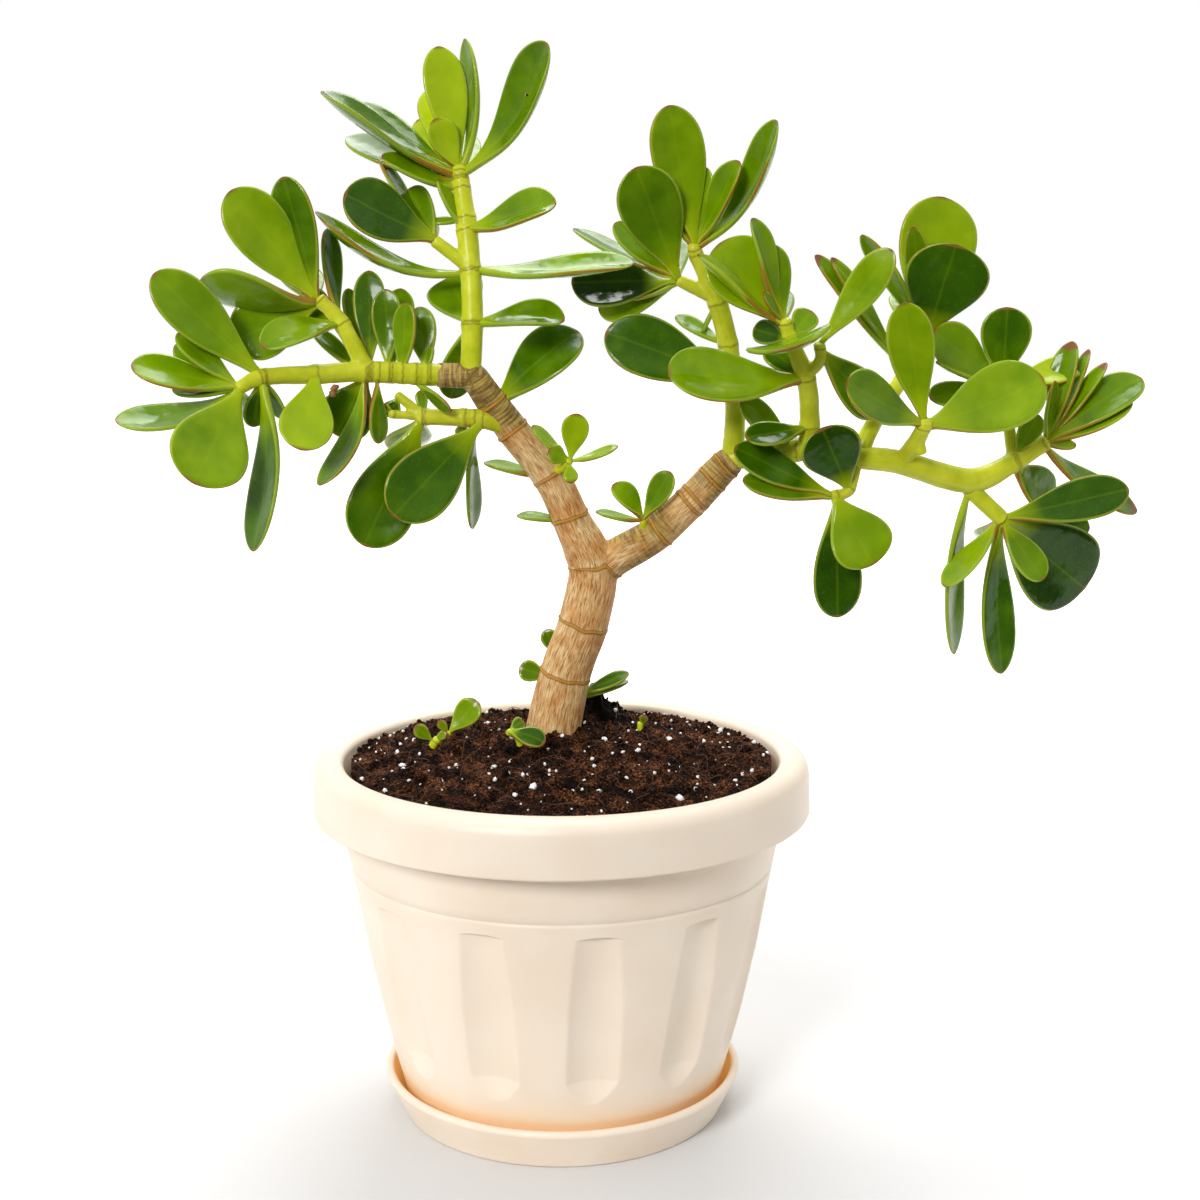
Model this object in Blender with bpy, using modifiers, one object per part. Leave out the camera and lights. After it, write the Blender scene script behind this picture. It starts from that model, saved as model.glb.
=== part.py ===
# A jade bonsai in a fluted cream pot on a saucer. Sizes below are millimetres, turned to metres by MM.
# The frame stands on the saucer's underside, on the pot's axis, with Z up and the plant's front at -Y.
import math

import bmesh
import bpy
import numpy as np
from mathutils import Vector

MM = 0.001
GAP = 0.3
MERGE = 0.000001
SHARP_EDGE = math.radians(35)

# Pot, saucer and soil. A flute is scooped to its crease, and below that a taper runs out to the wall.
ROUND_STEPS = 36
SKIRT_RADIUS = 100.0
SKIRT_BOTTOM = 125.8
RIM_TOP = 147.2
OPENING_RADIUS = 87.4
WALL = 4.8
BODY_TOP_RADIUS = 89.5
BODY_BOTTOM_RADIUS = 62.5
FOOT_RADIUS = 2.5
GROOVE_HEIGHT = 104.4
GROOVE_DEPTH = 0.7
GROOVE_HALF_WIDTH = 0.9
DRAIN_RADIUS = 7.0
FLUTE_COUNT = 12
FLUTE_TURN = -9.0
FLUTE_TOP = 99.3
FLUTE_CREASE = 36.8
FLUTE_TOP_DEPTH = 2.1
FLUTE_CREASE_DEPTH = 3.3
FLUTE_RADIUS = 21.0
FLUTE_RAMP = 14.0
FLUTE_TAPER = 4.0
SAUCER_FLOOR = 3.0
SAUCER_BASE_RADIUS = 65.9
SAUCER_LIP_RADIUS = 72.9
SAUCER_HEIGHT = 17.4
SAUCER_LIP = 3.4
SOIL_EDGE = 143.6
SOIL_CROWN = 6.0
SOIL_LUMP = 1.3
SOIL_RINGS = 7
# x, y, height and radius of the heap round the trunk, and of a clod behind it
SOIL_HEAP = (-2.0, 16.0, 5.0, 22.0)
CLOD = (17.0, 42.0, 9.5, 10.5)

# Stems
STEM_STEP = 12.0
THIN_STEM = 3.0

# Bark: where each ring scar crosses the middle of its limb, and how far it stands out
RING_RISE = 0.55
RING_WIDTH = 0.8
TRUNK_RINGS = (175.2, 196.8, 222.0, 241.6, 258.3, 276.8, 288.0)
RIGHT_LIMB_RINGS = (226.5, 236.0, 249.5, 262.0)
BARK_STEP = 10.0

# Leaf blade: the neck's share of the width, and how far along the leaf it is widest
NECK = 0.15
WIDEST = 0.69
NECK_END = 0.06
TROUGH = 0.24
BIG_LEAF = 24.0
SMALL_LEAF = 8.0

# How the plant spreads in depth. The tables below hold it as a flat spray; spread() then leans each part
# of it back or forward along the line of sight from the front, so that its front outline stays.
EYE = (0.0, -742.0, 343.0)
LEANS = (
    # from this (x, z), to this (x, z), depth gained on the way
    ((-45, 300), (-175, 300), -60.0),
    ((0, 330), (-75, 420), 30.0),
    ((10, 320), (90, 400), -30.0),
    ((95, 280), (225, 280), 62.0),
)

# A stem run is a list of (x, y, z, radius), and the first point of a side stem lies inside its parent.
TRUNK = [(-3, 16, 118, 12.4), (-3, 16, 140, 11.6), (-3.6, 16, 152, 11.2), (1.6, 16, 176, 10.4), (9.2, 15, 198, 10.2),
         (12.8, 14, 218, 9.8), (9.5, 13, 229, 9.0), (5, 12, 238, 7.8), (-4, 9, 257.5, 7.1), (-20, 5, 278, 6.6),
         (-31, 1, 294, 5.7), (-34, 0, 299, 5.0)]
RIGHT_LIMB = [(12, 14, 216, 7.0), (22, 13, 224.5, 7.5), (38, 10, 234.5, 7.2), (52, 8, 248, 6.7), (64, 6, 261, 6.3),
              (68, 5, 265, 5.8)]
LIMB_STUB = [(-34.5, 0, 296, 4.7), (-35, 0, 302, 4.5)]
WOODY_ARM = [(-33, 0, 298.3, 4.9), (-48, 0, 298.5, 4.6)]

# Each shoot: its parent's name, its stem runs, and its leaves. A leaf row is the point on the stem where
# it grows, its reach from there to its tip, its width, the way its upper face looks, how far its middle
# bulges away from that face as a share of its length, and for a folded leaf how far its edges rise from
# the fold as a share of half its width.
SHOOTS = {
    "left_leader": {
        "parent": "trunk",
        "stems": [
            [(-35, 0, 299, 4.2), (-34, 0, 319, 4.2), (-34.5, 0, 339, 4.1), (-36, 0, 357, 4.0),
             (-38, 0, 374, 3.2), (-38, 0, 378, 2.4)],
            [(-35, -1, 340, 2.7), (-48, -5, 350, 2.5)],
        ],
        "leaves": [
            # crown
            ((-38, 0, 374), (-52, -8, 31), 20, (.5, -.36, .8), .05, .5),
            ((-38, 1, 375), (-41, 9, 28), 16, (.5, -.4, .75), .04, .5),
            ((-38, 0, 373), (-45, 18, 17), 20, (.3, -.5, .8), .05),
            ((-38, 0, 369), (-29, -14, 12), 14, (.2, -.55, .8), .03),
            ((-38, 1, 373), (-2, 36, 20), 17, (0, -.5, .85), .03),
            ((-38, 0, 376), (-8, 4, 47), 17, (.2, -1, 0), .03),
            ((-38, 0, 376), (-9, -9, 19), 13, (.2, -.9, .5), .05),
            ((-38, 0, 376), (-12, 14, 32), 16, (0, -1, .1), .03),
            ((-38, 0, 376), (-17, 12, 20), 14, (0, -1, .2), .03),
            ((-38, 0, 375), (2, 6, 51), 17, (-.95, -.35, 0), .10),
            ((-37, 0, 375), (33, -8, 48), 23, (-.72, -.68, .3), .14, .55),
            # third joint
            ((-36, -2, 354), (35, -4, 10), 20, (-.1, -.7, .7), .03, .45),
            ((-37, -2, 354), (-9, -5, 19), 8, (.8, -.6, .3), .03),
            ((-37, 0, 358), (-12, -2, -1), 5, (0, -.6, .8), .03),
            # second joint and its side stem
            ((-34.5, 0, 338), (-59, -6, 23), 17, (.25, -.34, .9), .15, .45),
            ((-34.5, 0, 339), (63, -12, 2), 20, (0, -.45, .9), .04, .4),
            ((-47, -5, 350), (-34, -12, 17), 25, (.25, -.9, .4), .05),
            ((-47, -5, 350), (-11, 10, 20), 13, (-.2, -1, 0), .03),
            ((-47, -5, 350), (-22, 10, 32), 13, (.75, -.25, .6), .05),
            ((-47, -4, 350), (-15, 34, 9), 18, (0, -.3, .95), .03),
            # first joint
            ((-34, 0, 318), (36, -12, 2), 18, (0, -.55, .85), -.04, .4),
            ((-34, 0, 318), (-10, 14, 18), 23, (0, -1, .3), .03),
            ((-35, 2, 319), (-9, 15, -31), 14, (0, -1, -.2), .03),
        ],
    },
    "limb_leaf": {
        "parent": "trunk",
        "stems": [],
        "leaves": [((-26, 4, 286), (34, 5, 29), 25, (-.5, -.8, .3), -.04)],
    },
    "left_arm": {
        "parent": "trunk",
        "stems": [
            [(-46, 0, 298.5, 4.3), (-76, -2, 300, 4.0), (-94, -3, 299, 3.8), (-115, -4, 298, 3.2),
             (-125, -4, 293.5, 2.7)],
            [(-75, -2, 300, 3.6), (-84.5, -3, 319, 3.2), (-93, -4, 328, 2.6)],
        ],
        "leaves": [
            # upright branch
            ((-93, -4, 327), (-33, 2, 42), 24, (.3, -1, .2), .04),
            ((-93, -4, 327), (-11, -7, 47), 17, (-.3, -.9, 0), .03),
            ((-93, -4, 327), (-46, 4, 8), 24, (.1, .6, .8), .10),
            ((-93, -3, 326), (-36, 13, -15), 24, (.2, -.9, .2), .03),
            ((-85, -3, 318), (-4, 6, 37), 12, (.8, -.5, 0), .04),
            ((-85, -3, 318), (-29, -10, -8), 16, (0, -.75, .65), -.08),
            ((-85, -3, 318), (-18, 12, 10), 16, (.2, -1, .1), .03),
            ((-93, -3, 327), (-14, 32, 13), 18, (0, -.4, .9), .03),
            # far end
            ((-115, -4, 298), (-40, -4, 40), 22, (.35, -.9, .3), .03),
            ((-116, -4, 297), (-5, 8, -19), 10, (.5, -.85, 0), .03),
            ((-114, -3, 296), (5, 8, -15), 8, (-.5, -.85, 0), .03),
            ((-115, -5, 296), (-5, -4, -66), 21, (-.7, -.7, 0), .08),
            ((-124, -4, 294), (-41, -4, 9), 18, (.1, -.6, .75), .03),
            ((-124, -4, 294), (-27, 12, 16), 12, (.2, -1, .3), .03),
            ((-124, -4, 294), (-24, 2, 21), 12, (.5, -.6, .5), .03),
            ((-124, -4, 294), (-28, 8, -1), 12, (0, -.6, .8), .03),
            ((-124, -4, 293), (-50, 4, -12), 19, (.1, -.45, .9), .12),
            ((-124, -5, 293), (-17, -12, -35), 31, (.2, -.9, -.1), .04),
            ((-124, -3, 293), (-9, 34, -13), 20, (0, .3, .95), .03),
            # middle joints
            ((-94, -5, 300), (-5, -14, -29), 21, (0, -.95, -.3), .06),
            ((-76, -2, 299), (-18, -6, -43), 13, (-.5, -.7, .3), .14),
            ((-76, 0, 298), (-13, 10, -24), 22, (0, -1, 0), .03),
            ((-76, 0, 299), (-21, 10, 17), 10, (.6, -.6, .5), .03),
            ((-71, -2, 297), (0, -2, -25), 9, (.7, -.7, 0), .03),
            ((-75, 0, 297), (-3, 6, -20), 7, (.3, -.9, 0), .03),
            ((-57, -1, 296), (15, -8, -11), 7, (-.6, -.6, -.5), .03),
            # tuft
            ((-74, 1, 301), (-9, 10, 31), 10, (.6, -.8, 0), .04),
            ((-74, 0, 301), (0, 4, 38), 13, (.1, -1, 0), .04),
            ((-67, -1, 300), (0, -2, 32), 12, (0, -1, 0), .04),
            ((-66, 1, 300), (4, 8, 32), 13, (0, -1, .1), .04),
            ((-62, -3, 297), (3, -4, 30), 11, (-.4, -.9, 0), .05),
            ((-52, 1, 299), (-3, 4, 26), 12, (0, -1, .1), .04),
            ((-52, 0, 300), (2, 2, 10), 4, (-.5, -.8, 0), .03),
        ],
    },
    "lower_left_arm": {
        "parent": "trunk",
        "stems": [
            [(-19, 4, 277.5, 3.8), (-32, 0, 281.5, 3.6), (-55, -1, 282.5, 3.2)],
            [(-54, -1, 283, 2.2), (-64, 2, 291, 1.9)],
            [(-54, -1, 282.5, 1.8), (-67, 0, 283.5, 1.5)],
        ],
        "leaves": [
            ((-31, -2, 280), (-34, -14, -35), 26, (.2, -.95, .2), .04),
            ((-54, -1, 282), (-24, 0, -51), 27, (.1, -1, .05), .04),
            ((-54, 0, 282), (-11, 34, -17), 19, (0, .4, .9), .03),
            ((-34, 1, 280), (-1, 4, -43), 14, (.95, -.25, 0), .03),
            ((-37, 0, 281), (-3, 4, -7), 5, (0, -1, 0), .03),
            ((-53, 0, 282.5), (-2, 3, 10), 5, (0, -1, .1), .03),
            ((-63, 2, 290), (-5, 2, -8), 8, (0, -1, 0), .03),
            ((-65, 0, 283), (-4, 1, 4), 3, (0, -1, 0), .03),
        ],
    },
    "ring_leaf": {
        "parent": "trunk",
        "stems": [],
        "leaves": [((-5, 9, 258), (-26, 4, 5), 12, (0, -.2, 1), .03)],
    },
    "fork_leaf": {
        "parent": "trunk",
        "stems": [],
        "leaves": [((3, 11, 240.5), (-21, 3, 1), 9, (0, -.2, 1), .03)],
    },
    "trunk_shoot_left": {
        "parent": "trunk",
        "stems": [[(-4, 7, 259, 1.9), (0.5, 2, 262, 1.8), (3.7, 0, 265.5, 1.6)]],
        "leaves": [
            ((3.7, 0, 265), (3, -4, 19), 11, (0, -1, .1), .04),
            ((3.7, 0, 265), (-15, 0, 14), 8, (.4, -.4, .8), .04),
            ((3.7, 0, 265), (19, -2, 6), 7, (-.2, -.35, .9), .06),
            ((3.2, 0, 264.5), (-8, -3, 5), 8, (.2, -1, .2), .03),
            ((3.2, 0, 264.5), (1, -4, -8), 6, (0, -1, 0), .03),
        ],
    },
    "trunk_shoot_right": {
        "parent": "trunk",
        "stems": [[(34, 9, 234, 1.8), (32.5, 5, 241, 1.5)]],
        "leaves": [
            ((32.5, 5, 240.5), (-12, -2, 15), 11, (.5, -.7, .5), -.10),
            ((32.5, 5, 240.5), (11, -2, 20), 11, (-.4, -.85, .3), .03),
            ((32.5, 5, 240.5), (-19, -3, 4), 8, (0, -.3, 1), .03),
        ],
    },
    "right_leader": {
        "parent": "trunk",
        "stems": [
            [(68, 6, 262, 4.7), (69, 7, 285, 4.0), (66, 8, 310, 4.0), (61, 8, 328, 3.8), (53, 8, 345, 2.8),
             (53, 8, 349, 2.0)],
            [(61, 8, 328, 3.0), (46, 6, 335, 2.4)],
        ],
        "leaves": [
            # crown
            ((53, 8, 347), (-11, 2, 55), 22, (.1, -1, .1), .03),
            ((53, 8, 347), (31, -2, 49), 18, (-.75, -.5, .4), .14, .6),
            ((53, 8, 347), (17, 4, 34), 14, (-.75, -.55, .3), .03, .5),
            ((53, 8, 347), (4, 10, 32), 10, (-.5, -.85, 0), .03),
            ((53, 8, 346), (-7, 4, 15), 8, (.6, -.8, 0), .03),
            # side stem
            ((46, 6, 335), (-17, -8, 43), 25, (0, -1, -.1), .03),
            ((46, 7, 335), (-6, 36, 17), 20, (0, -.4, .9), .03),
            ((46, 6, 335), (-25, 2, 22), 14, (.3, -.8, .4), .03),
            ((46, 6, 335), (-41, 12, 20), 13, (.2, -.35, .9), .03),
            ((46, 6, 335), (-42, 2, -1), 20, (.1, -.9, .1), .03),
            ((46, 6, 334), (-18, 4, -6), 9, (0, -.5, .85), .03),
            ((46, 7, 334), (-31, 12, -11), 16, (.1, -.9, .3), .03),
            # lower joints
            ((68, 7, 295), (-51, -6, 20), 25, (.1, -.95, .3), -.02),
            ((69, 8, 295), (-12, 36, 9), 20, (0, -.3, .95), .03),
            ((65.5, 8, 310), (-20, 6, 11), 9, (.3, -.6, .7), .03),
            ((62, 8, 326), (-6, 5, -12), 5, (.9, -.3, 0), .03),
        ],
    },
    "right_arm": {
        "parent": "right_leader",
        "stems": [
            [(67, 6, 265, 4.8), (96, 3, 269, 4.7), (118, 0, 266, 4.6), (133, -3, 264.5, 4.8), (160, -6, 257.5, 5.0),
             (177, -8, 265, 3.9), (189, -9, 273, 3.2)],
            [(177, -8, 265, 2.6), (176, -2, 278, 2.4), (173.5, 2, 295, 2.2)],
        ],
        "leaves": [
            ((93, 2, 269), (-23, -5, 20), 14, (.4, -.8, .4), .03),
            # second back branch
            ((173.5, 2, 294), (-26, 10, 21), 20, (.2, -.9, .4), .03),
            ((173.5, 2, 294), (-26, 2, 9), 10, (.1, -.35, .9), .03),
            ((173.5, 2, 294), (-29, -3, -5), 14, (.1, -.6, .75), .03),
            ((173.5, 1, 294), (0, -3, 31), 20, (0, -1, 0), .03),
            ((173.5, 3, 294), (4, 34, 13), 18, (0, -.4, .9), .03),
            ((173.5, 1, 294), (31, -4, 9), 14, (-.1, -.7, .7), .03),
            ((177, -8, 267), (8, -4, 17), 10, (.2, -.9, .3), .03),
            ((177, -7, 264), (20, 12, -17), 19, (.2, -.9, .3), .03),
            # end joint
            ((189, -9, 272), (2, -2, 25), 9, (.7, -.7, 0), .03),
            ((189, -9, 272), (10, 4, 40), 12, (-.6, -.7, .3), .03, .5),
            ((189, -9, 272), (16, 2, 37), 8, (-.75, -.45, .4), .05, .5),
            ((189, -9, 272), (22, -2, 32), 8, (-.75, -.4, .4), .03, .5),
            ((189, -9, 272), (36, -2, 26), 18, (-.3, -.7, .6), -.04),
            ((189, -9, 272), (31, -7, 18), 13, (-.2, -.75, .6), .03),
            ((188, -9, 272), (12, -4, 0), 5, (0, -.8, .6), .03),
            ((188, -9, 272), (40, 5, -27), 16, (.3, -.6, .7), .07),
        ],
    },
    "middle_shoot": {
        "parent": "right_arm",
        "stems": [
            [(97.5, 3, 267, 4.0), (98, 2, 282, 4.0), (96, 0, 297, 3.8), (90, -1, 311, 3.0), (87, -1, 320, 2.2)],
            [(95.5, 0, 298, 2.6), (101, -2, 304, 2.4), (100.5, -3, 311, 2.0)],
        ],
        "leaves": [
            ((98, 0, 278), (-27, -15, -3), 13, (0, -.75, .65), .03),
            ((96, -1, 297), (-56, -24, 4), 27, (-.1, -.75, .65), .06),
            ((96, 0, 297), (-15, 8, 12), 12, (.2, -.9, .3), .03),
            ((87, -1, 318), (-26, 5, 31), 28, (.2, -1, .3), .04),
            ((87, -1, 318), (-35, -8, 27), 12, (.6, -.38, .75), .04, .6),
            ((87, 0, 318), (-5, 34, 13), 20, (0, -.4, .9), .03),
            ((87, -1, 318), (-13, 2, 41), 13, (.85, -.55, .1), .02, .5),
            ((87, -1, 318), (-5, 8, 31), 14, (.3, -.9, .2), .04),
            ((87, -1, 318), (-9, -6, 13), 5, (.6, -.7, .3), .03),
            ((90, -2, 312), (-4, -28, -2), 34, (-.29, .28, .91), .03),
            ((90, 0, 312), (-14, 10, 4), 10, (0, -1, 0), .03),
            ((90, 0, 313), (9, 9, 10), 11, (-.2, -1, .2), .03),
            ((100.5, -3, 310), (27, -4, 37), 15, (-.3, -1, .25), .04),
            ((100.5, -3, 309), (25, 3, -26), 18, (.3, -.9, .2), .04),
        ],
    },
    "front_shoot": {
        "parent": "right_arm",
        "stems": [
            [(133.5, -2, 264, 3.5), (138, -12, 274, 3.3), (140.5, -17, 282, 2.7)],
            [(138.5, -12, 275, 2.1), (139.5, -15, 269, 2.1)],
        ],
        "leaves": [
            ((140, -16, 280), (-9, 4, 47), 19, (.1, -1, .1), .03),
            ((140, -16, 280), (43, -10, 19), 29, (-.25, -.9, .4), .12),
            ((140, -16, 280), (-32, -8, 17), 20, (-.1, -.8, .5), .04),
        ],
    },
    "back_shoot": {
        "parent": "right_arm",
        "stems": [[(117.5, 1, 266, 3.6), (123.5, 6, 278, 3.4), (136, 14, 296, 3.0), (146, 18, 313, 2.3)]],
        "leaves": [
            ((146, 18, 312), (8, -14, 37), 34, (0, -.9, -.3), .04),
            ((146, 18, 312), (6, 6, 56), 33, (.1, -1, .2), .05),
            ((146, 19, 312), (2, 38, 18), 24, (0, -.4, .9), .03),
            ((146, 18, 312), (-7, -2, 44), 11, (.2, -1, 0), .03),
            ((138, 15, 300), (-37, 6, 45), 11, (.4, -.6, .6), .03, .5),
            ((138, 15, 300), (-30, 10, 44), 10, (.4, -.6, .6), .03, .5),
            ((145, 18, 311), (-25, 6, 42), 11, (-.6, -.6, -.4), .06),
        ],
    },
    "lower_mid_shoot": {
        "parent": "right_arm",
        "stems": [[(117, 0, 265, 2.3), (113, -6, 254, 2.2), (106, -8, 251.5, 2.1)]],
        "leaves": [
            ((107, -8, 252), (14, -12, -26), 26, (.1, -.85, .4), .04),
            ((108, -7, 252), (2, 4, -50), 20, (0, -1, .1), .03),
            ((106, -8, 252), (-39, -1, 19), 17, (.3, -.75, .5), .03),
            ((106, -8, 251), (-36, -6, 8), 12, (.1, -.8, .6), .03),
            ((113, -6, 254), (-12, -5, 25), 24, (-.2, -.95, 0), .04),
        ],
    },
    "drooping_shoot": {
        "parent": "right_arm",
        "stems": [[(159, -6, 258, 3.6), (162, -7, 253, 3.5), (172.5, -10, 243, 3.3)]],
        "leaves": [
            ((160, -7, 254), (-4, -2, -66), 16, (.75, -.65, 0), .06),
            ((172, -10, 243), (-23, -8, -26), 13, (-.5, -.5, .7), .04),
            ((172, -10, 243), (1, -8, -61), 17, (.4, -.9, 0), .06),
            ((172, -10, 243), (14, -16, -22), 14, (.2, -.9, .3), .04),
            ((172, -10, 243), (36, 4, -29), 36, (0, -1, 0), .03),
            ((172, -9, 243), (8, 37, -14), 20, (0, .3, .95), .03),
            ((172, -10, 243), (47, -12, 13), 18, (-.1, -.85, .45), .03),
            ((172, -10, 243), (38, 8, -5), 14, (0, -1, .3), .03),
        ],
    },
    "basal_leaf_left": {
        "parent": "trunk",
        "stems": [],
        "leaves": [((-5, 18, 174), (-12.5, 0, 4), 9, (0, -1, .3), .03)],
    },
    "basal_leaf_back": {
        "parent": "trunk",
        "stems": [],
        "leaves": [((-1, 20, 182), (-5.5, 1, 11.5), 7.5, (0, -1, .1), .03)],
    },
    "basal_leaves_right": {
        "parent": "trunk",
        "stems": [],
        "leaves": [
            ((6, 18, 166), (22, 4, 9), 8, (-.2, -.5, .85), .03),
            ((6, 18, 165), (22, 6, 6), 5, (-.1, -.3, .9), .03),
        ],
    },
    "seedling_left": {
        "parent": "soil",
        "stems": [[(-53, 0, 138, 1.6), (-52, 0, 150, 1.6), (-45, 0, 155.5, 1.4)]],
        "leaves": [
            ((-45.5, 0, 155), (12, 0, 13.5), 11, (-.3, -.95, .2), .03),
            ((-45.5, 0, 155.3), (-4, -2, 5.5), 4, (.2, -.9, .2), .03),
            ((-52, 0, 152), (-7, -2, 6.5), 6, (.2, -.9, .3), .03),
            ((-51, 0, 152.5), (5, -3, 3.5), 4, (.1, -.8, .5), .03),
        ],
    },
    "seedling_front": {
        "parent": "soil",
        "stems": [[(-16, -3, 138, 1.6), (-17, -4, 153, 1.6), (-21.5, -7, 157.5, 1.6)]],
        "leaves": [
            ((-21.5, -7.5, 157.5), (15, -6, -3.5), 10, (.1, -.7, .7), -.05),
            ((-21, -6.5, 157.7), (6, 2, 3.5), 6, (.1, -.75, .6), .03),
        ],
    },
    "seedling_right": {
        "parent": "soil",
        "stems": [[(33, 30, 138, 1.4), (33, 30, 152, 1.4)]],
        "leaves": [((33, 30, 151), (2, -1, 4), 4, (0, -1, 0), .03)],
    },
}


# The scene's collections

for old in list(bpy.data.objects):
    bpy.data.objects.remove(old, do_unlink=True)


def new_collection(name):
    collection = bpy.data.collections.new(name)
    bpy.context.scene.collection.children.link(collection)
    return collection


PLANT = new_collection("jade_bonsai")
CUTTERS = new_collection("cutters")


def material(name, colour, roughness):
    """A Principled material in one plain colour."""
    made = bpy.data.materials.new(name)
    made.use_nodes = True
    shader = made.node_tree.nodes["Principled BSDF"]
    shader.inputs["Base Color"].default_value = (*colour, 1.0)
    shader.inputs["Roughness"].default_value = roughness
    shader.inputs["Metallic"].default_value = 0.0
    return made


CREAM_PLASTIC = material("cream_plastic", (0.80, 0.66, 0.48), 0.45)
POTTING_SOIL = material("potting_soil", (0.035, 0.018, 0.010), 0.95)
BARK = material("tan_bark", (0.42, 0.23, 0.09), 0.75)
JADE_LEAF = material("jade_leaf", (0.10, 0.20, 0.015), 0.35)
YOUNG_LEAF = material("young_jade_leaf", (0.22, 0.32, 0.02), 0.35)


def place(name, mesh, collection, surface):
    """Put a mesh into the scene as a named object with its material, shaded smooth where it is round."""
    thing = bpy.data.objects.new(name, mesh)
    collection.objects.link(thing)
    mesh.materials.clear()
    if surface:
        mesh.materials.append(surface)
    mesh.shade_smooth()
    mesh.set_sharp_from_angle(angle=SHARP_EDGE)
    return thing


def evaluated_mesh(thing):
    """The mesh of an object with its modifiers done."""
    depsgraph = bpy.context.evaluated_depsgraph_get()
    return bpy.data.meshes.new_from_object(thing.evaluated_get(depsgraph))


def welded_mesh(thing):
    """The same with its caps and seams welded and its faces turned outwards."""
    mesh = evaluated_mesh(thing)
    cage = bmesh.new()
    cage.from_mesh(mesh)
    bmesh.ops.remove_doubles(cage, verts=cage.verts, dist=MERGE)
    bmesh.ops.recalc_face_normals(cage, faces=cage.faces)
    cage.to_mesh(mesh)
    cage.free()
    return mesh


def remove(thing):
    data = thing.data
    bpy.data.objects.remove(thing, do_unlink=True)
    if isinstance(data, bpy.types.Curve):
        bpy.data.curves.remove(data)


# Shapes


def turned(name, profile, surface, collection, steps=ROUND_STEPS):
    """A turned piece: the profile's (radius, height) points swept round Z, a closed section or one
    that starts and ends on the axis."""
    mesh = bpy.data.meshes.new(name)
    points = [(radius * MM, 0.0, height * MM) for radius, height in profile]
    closed = profile[0][0] > 0
    edges = [(i, i + 1) for i in range(len(points) - 1)]
    if closed:
        edges.append((len(points) - 1, 0))
    mesh.from_pydata(points, edges, [])
    thing = bpy.data.objects.new(name, mesh)
    collection.objects.link(thing)
    screw = thing.modifiers.new("turn", "SCREW")
    screw.steps = steps
    screw.render_steps = steps
    screw.use_merge_vertices = True
    screw.merge_threshold = MERGE
    turned_mesh = welded_mesh(thing)
    remove(thing)
    return place(name, turned_mesh, collection, surface)


def arc(centre, radius, start, end, steps):
    """Points on a circle's arc in the section plane, from one angle to another in degrees."""
    angles = [math.radians(start + (end - start) * i / steps) for i in range(steps + 1)]
    return [(centre[0] + radius * math.cos(a), centre[1] + radius * math.sin(a)) for a in angles]


def spread(point):
    """Move a point of the flat spray in depth, and scale it about the eye so that it looks the same
    from there. Returns the new point and the scale. The depth eases in and out along each lean."""
    x, y, z = point
    depth = 0.0
    for (x0, z0), (x1, z1), gain in LEANS:
        share = ((x - x0) * (x1 - x0) + (z - z0) * (z1 - z0)) / ((x1 - x0) ** 2 + (z1 - z0) ** 2)
        share = min(1.0, max(0.0, share))
        depth += gain * share * share * (3 - 2 * share)
    scale = 1 + depth / (y - EYE[1])
    return Vector([eye + (p - eye) * scale for eye, p in zip(EYE, (x, y, z))]), scale


def smooth_run(run, step):
    """Points about every step mm on the Catmull-Rom curve through a run's points, radius included."""
    moved = [spread(point[:3]) for point in run]
    given = np.array([[*place_now, point[3] * scale] for (place_now, scale), point in zip(moved, run)])
    ends = np.vstack([2 * given[0] - given[1], given, 2 * given[-1] - given[-2]])
    points = []
    for a, b, c, d in zip(ends, ends[1:], ends[2:], ends[3:]):
        count = max(1, round(float(np.linalg.norm(c[:3] - b[:3])) / step))
        for t in np.arange(count) / count:
            points.append(0.5 * (2 * b + (c - a) * t + (2 * a - 5 * b + 4 * c - d) * t * t
                                 + (3 * b - a - 3 * c + d) * t ** 3))
    points.append(given[-1])
    return np.array(points)


def bark_run(run, rings):
    """A woody run with a raised ring at each scar: the curve is read at even heights and at each ring."""
    fine = smooth_run(run, 1.0)
    heights = np.linspace(run[0][2], run[-1][2], max(2, round((run[-1][2] - run[0][2]) / BARK_STEP)))
    clear = [z for z in heights if all(abs(z - ring) > 3 * RING_WIDTH for ring in rings)]
    near = [ring + side * 1.5 * RING_WIDTH for ring in rings for side in (-1, 0, 1)]
    stations = sorted(clear + near)
    return np.array([[*(np.interp(z, fine[:, 2], fine[:, i]) for i in (0, 1)), z,
                      np.interp(z, fine[:, 2], fine[:, 3]) + RING_RISE * any(abs(z - ring) < RING_WIDTH
                                                                             for ring in rings)]
                     for z in stations])


def tube(name, points, sides, collection, grow=0.0):
    """A stem: a curve object with a round bevel and filled caps, made a closed mesh. Grown, it is a
    cutter that stands grow mm off the stem all round and past its ends."""
    points = np.array(points, float)
    if grow:
        for end, inner in ((0, 1), (-1, -2)):
            along = points[end, :3] - points[inner, :3]
            points[end, :3] += grow * along / np.linalg.norm(along)
        points[:, 3] += grow
    curve = bpy.data.curves.new(name, "CURVE")
    curve.dimensions = "3D"
    curve.bevel_depth = MM
    curve.bevel_resolution = (sides - 4) // 2
    curve.use_fill_caps = True
    spline = curve.splines.new("POLY")
    spline.points.add(len(points) - 1)
    for point, (x, y, z, radius) in zip(spline.points, points):
        point.co = (x * MM, y * MM, z * MM, 1.0)
        point.radius = radius
    thing = bpy.data.objects.new(name, curve)
    collection.objects.link(thing)
    mesh = welded_mesh(thing)
    remove(thing)
    return place(name, mesh, collection, None)


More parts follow.
